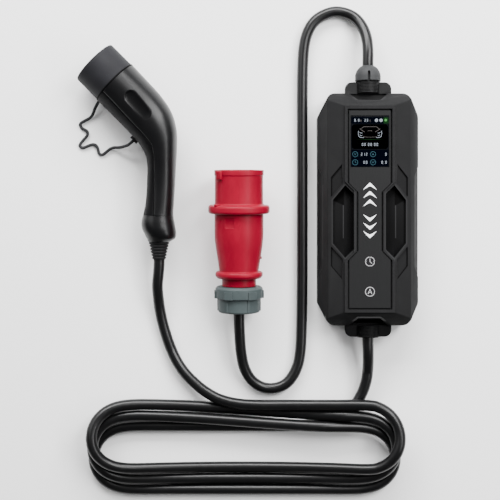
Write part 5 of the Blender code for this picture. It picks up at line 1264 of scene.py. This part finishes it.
def plug_ring(name, points, finish, start=0.0, flip=False):
    """A turned moulding of the plug from a closed profile of (radius, station, corner radius)."""
    bm = along_y(turned(soft_profile(points, 6), 144), 0.0, start, 0.0, flip)
    bm.transform(plug_place())
    return piece(name, bm, finish, 35)


def rounded_block(name, size, centre, angle, radius, finish=None):
    """A soft-edged block on the plug, turned round the plug's axis: angle 0 is at the top."""
    bm = bmesh.new()
    bmesh.ops.create_cube(bm, size=1.0)
    bm.transform(Matrix.Translation(centre) @ Matrix.Diagonal((*size, 1.0)))
    bmesh.ops.bevel(bm, geom=bm.edges[:], offset=radius, segments=3, profile=0.5, affect="EDGES")
    bm.transform(Matrix.Rotation(angle, 4, "Y"))
    bm.transform(plug_place())
    return piece(name, bm, finish, 35) if finish else piece(name, bm, None, None)


def plug_shroud(red):
    """Sleeve and flange, with the key rib, the flange's index mark and the rolled rim."""
    front = FLANGE_HALF_LENGTH
    band = PLUG_MOUTH - 0.0066
    raised = SLEEVE_RADIUS + 0.0007
    edge = FLANGE_RADIUS - 0.0001
    shroud = plug_ring("plug_sleeve", [
        (SLEEVE_BORE, -front, 0), (FLANGE_RADIUS - 0.0016, -front, 0.0012), (edge, -front + 0.0022, 0.0012),
        (edge, front - 0.0022, 0.0012), (FLANGE_RADIUS - 0.0016, front, 0.0012),
        (SLEEVE_RADIUS + 0.0022, front, 0.0012), (SLEEVE_RADIUS, front + 0.0016, 0.0012),
        (SLEEVE_RADIUS, band, 0.0004), (raised, band + 0.0007, 0.0003), (raised, PLUG_MOUTH, 0.0009),
        (SLEEVE_BORE, PLUG_MOUTH, 0.0006), (SLEEVE_BORE, -front, 0)], red)
    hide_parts("plug_shroud")
    return [shroud,
            rounded_block("plug_key", (0.0080, 0.0098, 0.0050), (0.0, PLUG_MOUTH - 0.0061, SLEEVE_RADIUS + 0.0005),
                          -KEY_ANGLE, 0.0008, red),
            rounded_block("plug_flange_mark", (0.0052, 0.0024, 0.0062), (0.0, front + 0.0004, 0.0332), -KEY_ANGLE,
                          0.0006, red)]


def plug_body(red):
    """The rear housing: straight, tapered, then a chamfered lip and a neck, with a shallow square pad."""
    body = plug_ring("plug_housing", [
        (0.0260, BODY_START, 0), (BODY_RADIUS, BODY_START, 0.0004), (BODY_RADIUS, BODY_TAPER_START, 0.012),
        (0.0233, BODY_END, 0.0018), (0.0272, BODY_END, 0.0010), (0.0283, BODY_END - 0.0018, 0.0008),
        (0.0283, BODY_END - 0.0046, 0.0008), (0.0262, LIP_END, 0.0008), (0.0204, LIP_END, 0.0006),
        (0.0204, NECK_END, 0.0008), (0.0115, NECK_END, 0.0003), (0.0115, BODY_END - 0.003, 0.0003),
        (0.0201, BODY_END, 0.001), (0.0260, BODY_TAPER_START, 0.001), (0.0260, BODY_START, 0)], red)
    cut_away(body, rounded_block("pad_tool", (0.0118, 0.0122, 0.0060), (0.0, -0.0152, BODY_RADIUS + 0.0021),
                                 math.radians(-22), 0.0005))
    body.data.set_sharp_from_angle(angle=math.radians(35))
    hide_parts("plug_body")
    return [body, rounded_block("plug_latch_bump", (0.0022, 0.0030, 0.0022), (0.0, -0.0578, 0.0262),
                                math.radians(88), 0.0006, red)]


# The nut's ridges: name, radius, distance from the nut's start, width, height, length, turn in degrees
NUT_RIDGES = (
    ("nut_ridges", 0.0250, NUT_COLLAR_LENGTH - 0.0008, 0.0022, 0.0030, 0.0160, 3),
    ("nut_steps", 0.0280, 0.0050, 0.0030, 0.0110, 0.0088, 56),
)


def plug_nut(grey, ridges):
    bore = 0.0115
    nut = plug_ring("nut_grey", [
        (bore, 0, 0), (0.0262, 0, 0.0010), (NUT_COLLAR_RADIUS, 0.0022, 0.0010),
        (NUT_COLLAR_RADIUS, NUT_COLLAR_LENGTH, 0.0010), (0.0252, NUT_COLLAR_LENGTH + 0.0006, 0.0005),
        (0.0250, NUT_LENGTH - 0.0014, 0.0012), (0.0236, NUT_LENGTH, 0.0012), (bore, NUT_LENGTH, 0.0004),
        (bore, 0, 0)], grey, NUT_START, True)
    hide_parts("gland_nut")
    made = [nut]
    for name, radius, along, width, height, length, turn in NUT_RIDGES:
        made.append(grown(name, ridges, 40, "nut_grey", Count=6, Radius=radius, Centre=(0.0, NUT_START - along, 0.0),
                          Width=width, Height=height, Length=length, Turn=math.radians(turn), Finish=grey))
        made[-1].data.transform(plug_place())
    return made


# Cables

def numbered(name, count):
    return tuple("%s_%d" % (name, number) for number in range(1, count + 1))


CONTACTS = numbered("contact", 7)
PINS = numbered("plug_pin", 5)


def lay_cables(finishes):
    """Each cord's piece and path."""
    tether = smooth_path(at_rest(TETHER_ROUTE, TETHER_HEIGHT), TETHER_STEP)
    tether = eased(tether, rounds=5, fixed_start=4, fixed_end=4)
    cords = {}
    for name, path, diameter, sides, finish, slot, nodes in (
            ("supply_lead", smooth_path(at_rest(SUPPLY_ROUTE), CABLE_STEP), CABLE_DIAMETER, 24, "cable", "cable",
             ("supply_cable",)),
            ("output_lead", output_path(), CABLE_DIAMETER, 24, "cable", "cable",
             ("output_cable_box_end", "cable_coil", "output_cable_connector_end")),
            ("tether_cord", tether, TETHER_DIAMETER, 12, "tether", "cap_rubber", ("cap_tether",))):
        made = tube(name, path, diameter, finishes[finish], sides)
        cords[name] = stand_in(made, slot, *nodes), path.tolist()
    return cords


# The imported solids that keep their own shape, by finish
KEPT_NODES = {
    "rubber": ("shell_gasket_left", "shell_gasket_right", "gland_seal", "tether_anchor"),
    "guide": ("arrow_light_guide",),
    "part": ("display_module", "relay_1", "relay_2", "leakage_sensor", "filter_capacitor", "supply_terminals",
             "output_terminals", "contact_carrier", "plug_insert"),
    "board": ("control_board", "main_board"),
    "core": ("power_converter",),
    "steel": numbered("case_screw", 4),
    "nickel": ("touch_pad_timer", "touch_pad_current", *CONTACTS, *PINS),
}


def dress_nodes(finishes):
    for finish, names in KEPT_NODES.items():
        for name in names:
            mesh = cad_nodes[name].data
            mesh.materials.clear()
            mesh.materials.append(finishes[finish])


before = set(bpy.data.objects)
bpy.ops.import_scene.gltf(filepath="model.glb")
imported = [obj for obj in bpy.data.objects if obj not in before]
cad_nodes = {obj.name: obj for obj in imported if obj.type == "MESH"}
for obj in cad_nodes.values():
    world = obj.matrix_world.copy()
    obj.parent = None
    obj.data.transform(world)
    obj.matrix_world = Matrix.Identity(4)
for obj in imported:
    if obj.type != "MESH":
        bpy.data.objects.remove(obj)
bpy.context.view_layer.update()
set_camera()
finishes = make_finishes()
cords = lay_cables(finishes)
set_studio()
dress_nodes(finishes)
rings = ring_row_tree()
ridges = ridge_circle_tree()
box_pieces = dress_case(finishes) + dress_screen(finishes) + dress_keys(finishes)
box_pieces += dress_collars(finishes, rings) + dress_dome(finishes)
connector_pieces = dress_handle(finishes) + dress_cap(finishes) + dress_relief(finishes)
plug_pieces = plug_shroud(finishes["red"]) + plug_body(finishes["red"]) + plug_nut(finishes["nut"], ridges)
for made in box_pieces + connector_pieces + plug_pieces + [cord for cord, _ in cords.values()]:
    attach(made, "root")
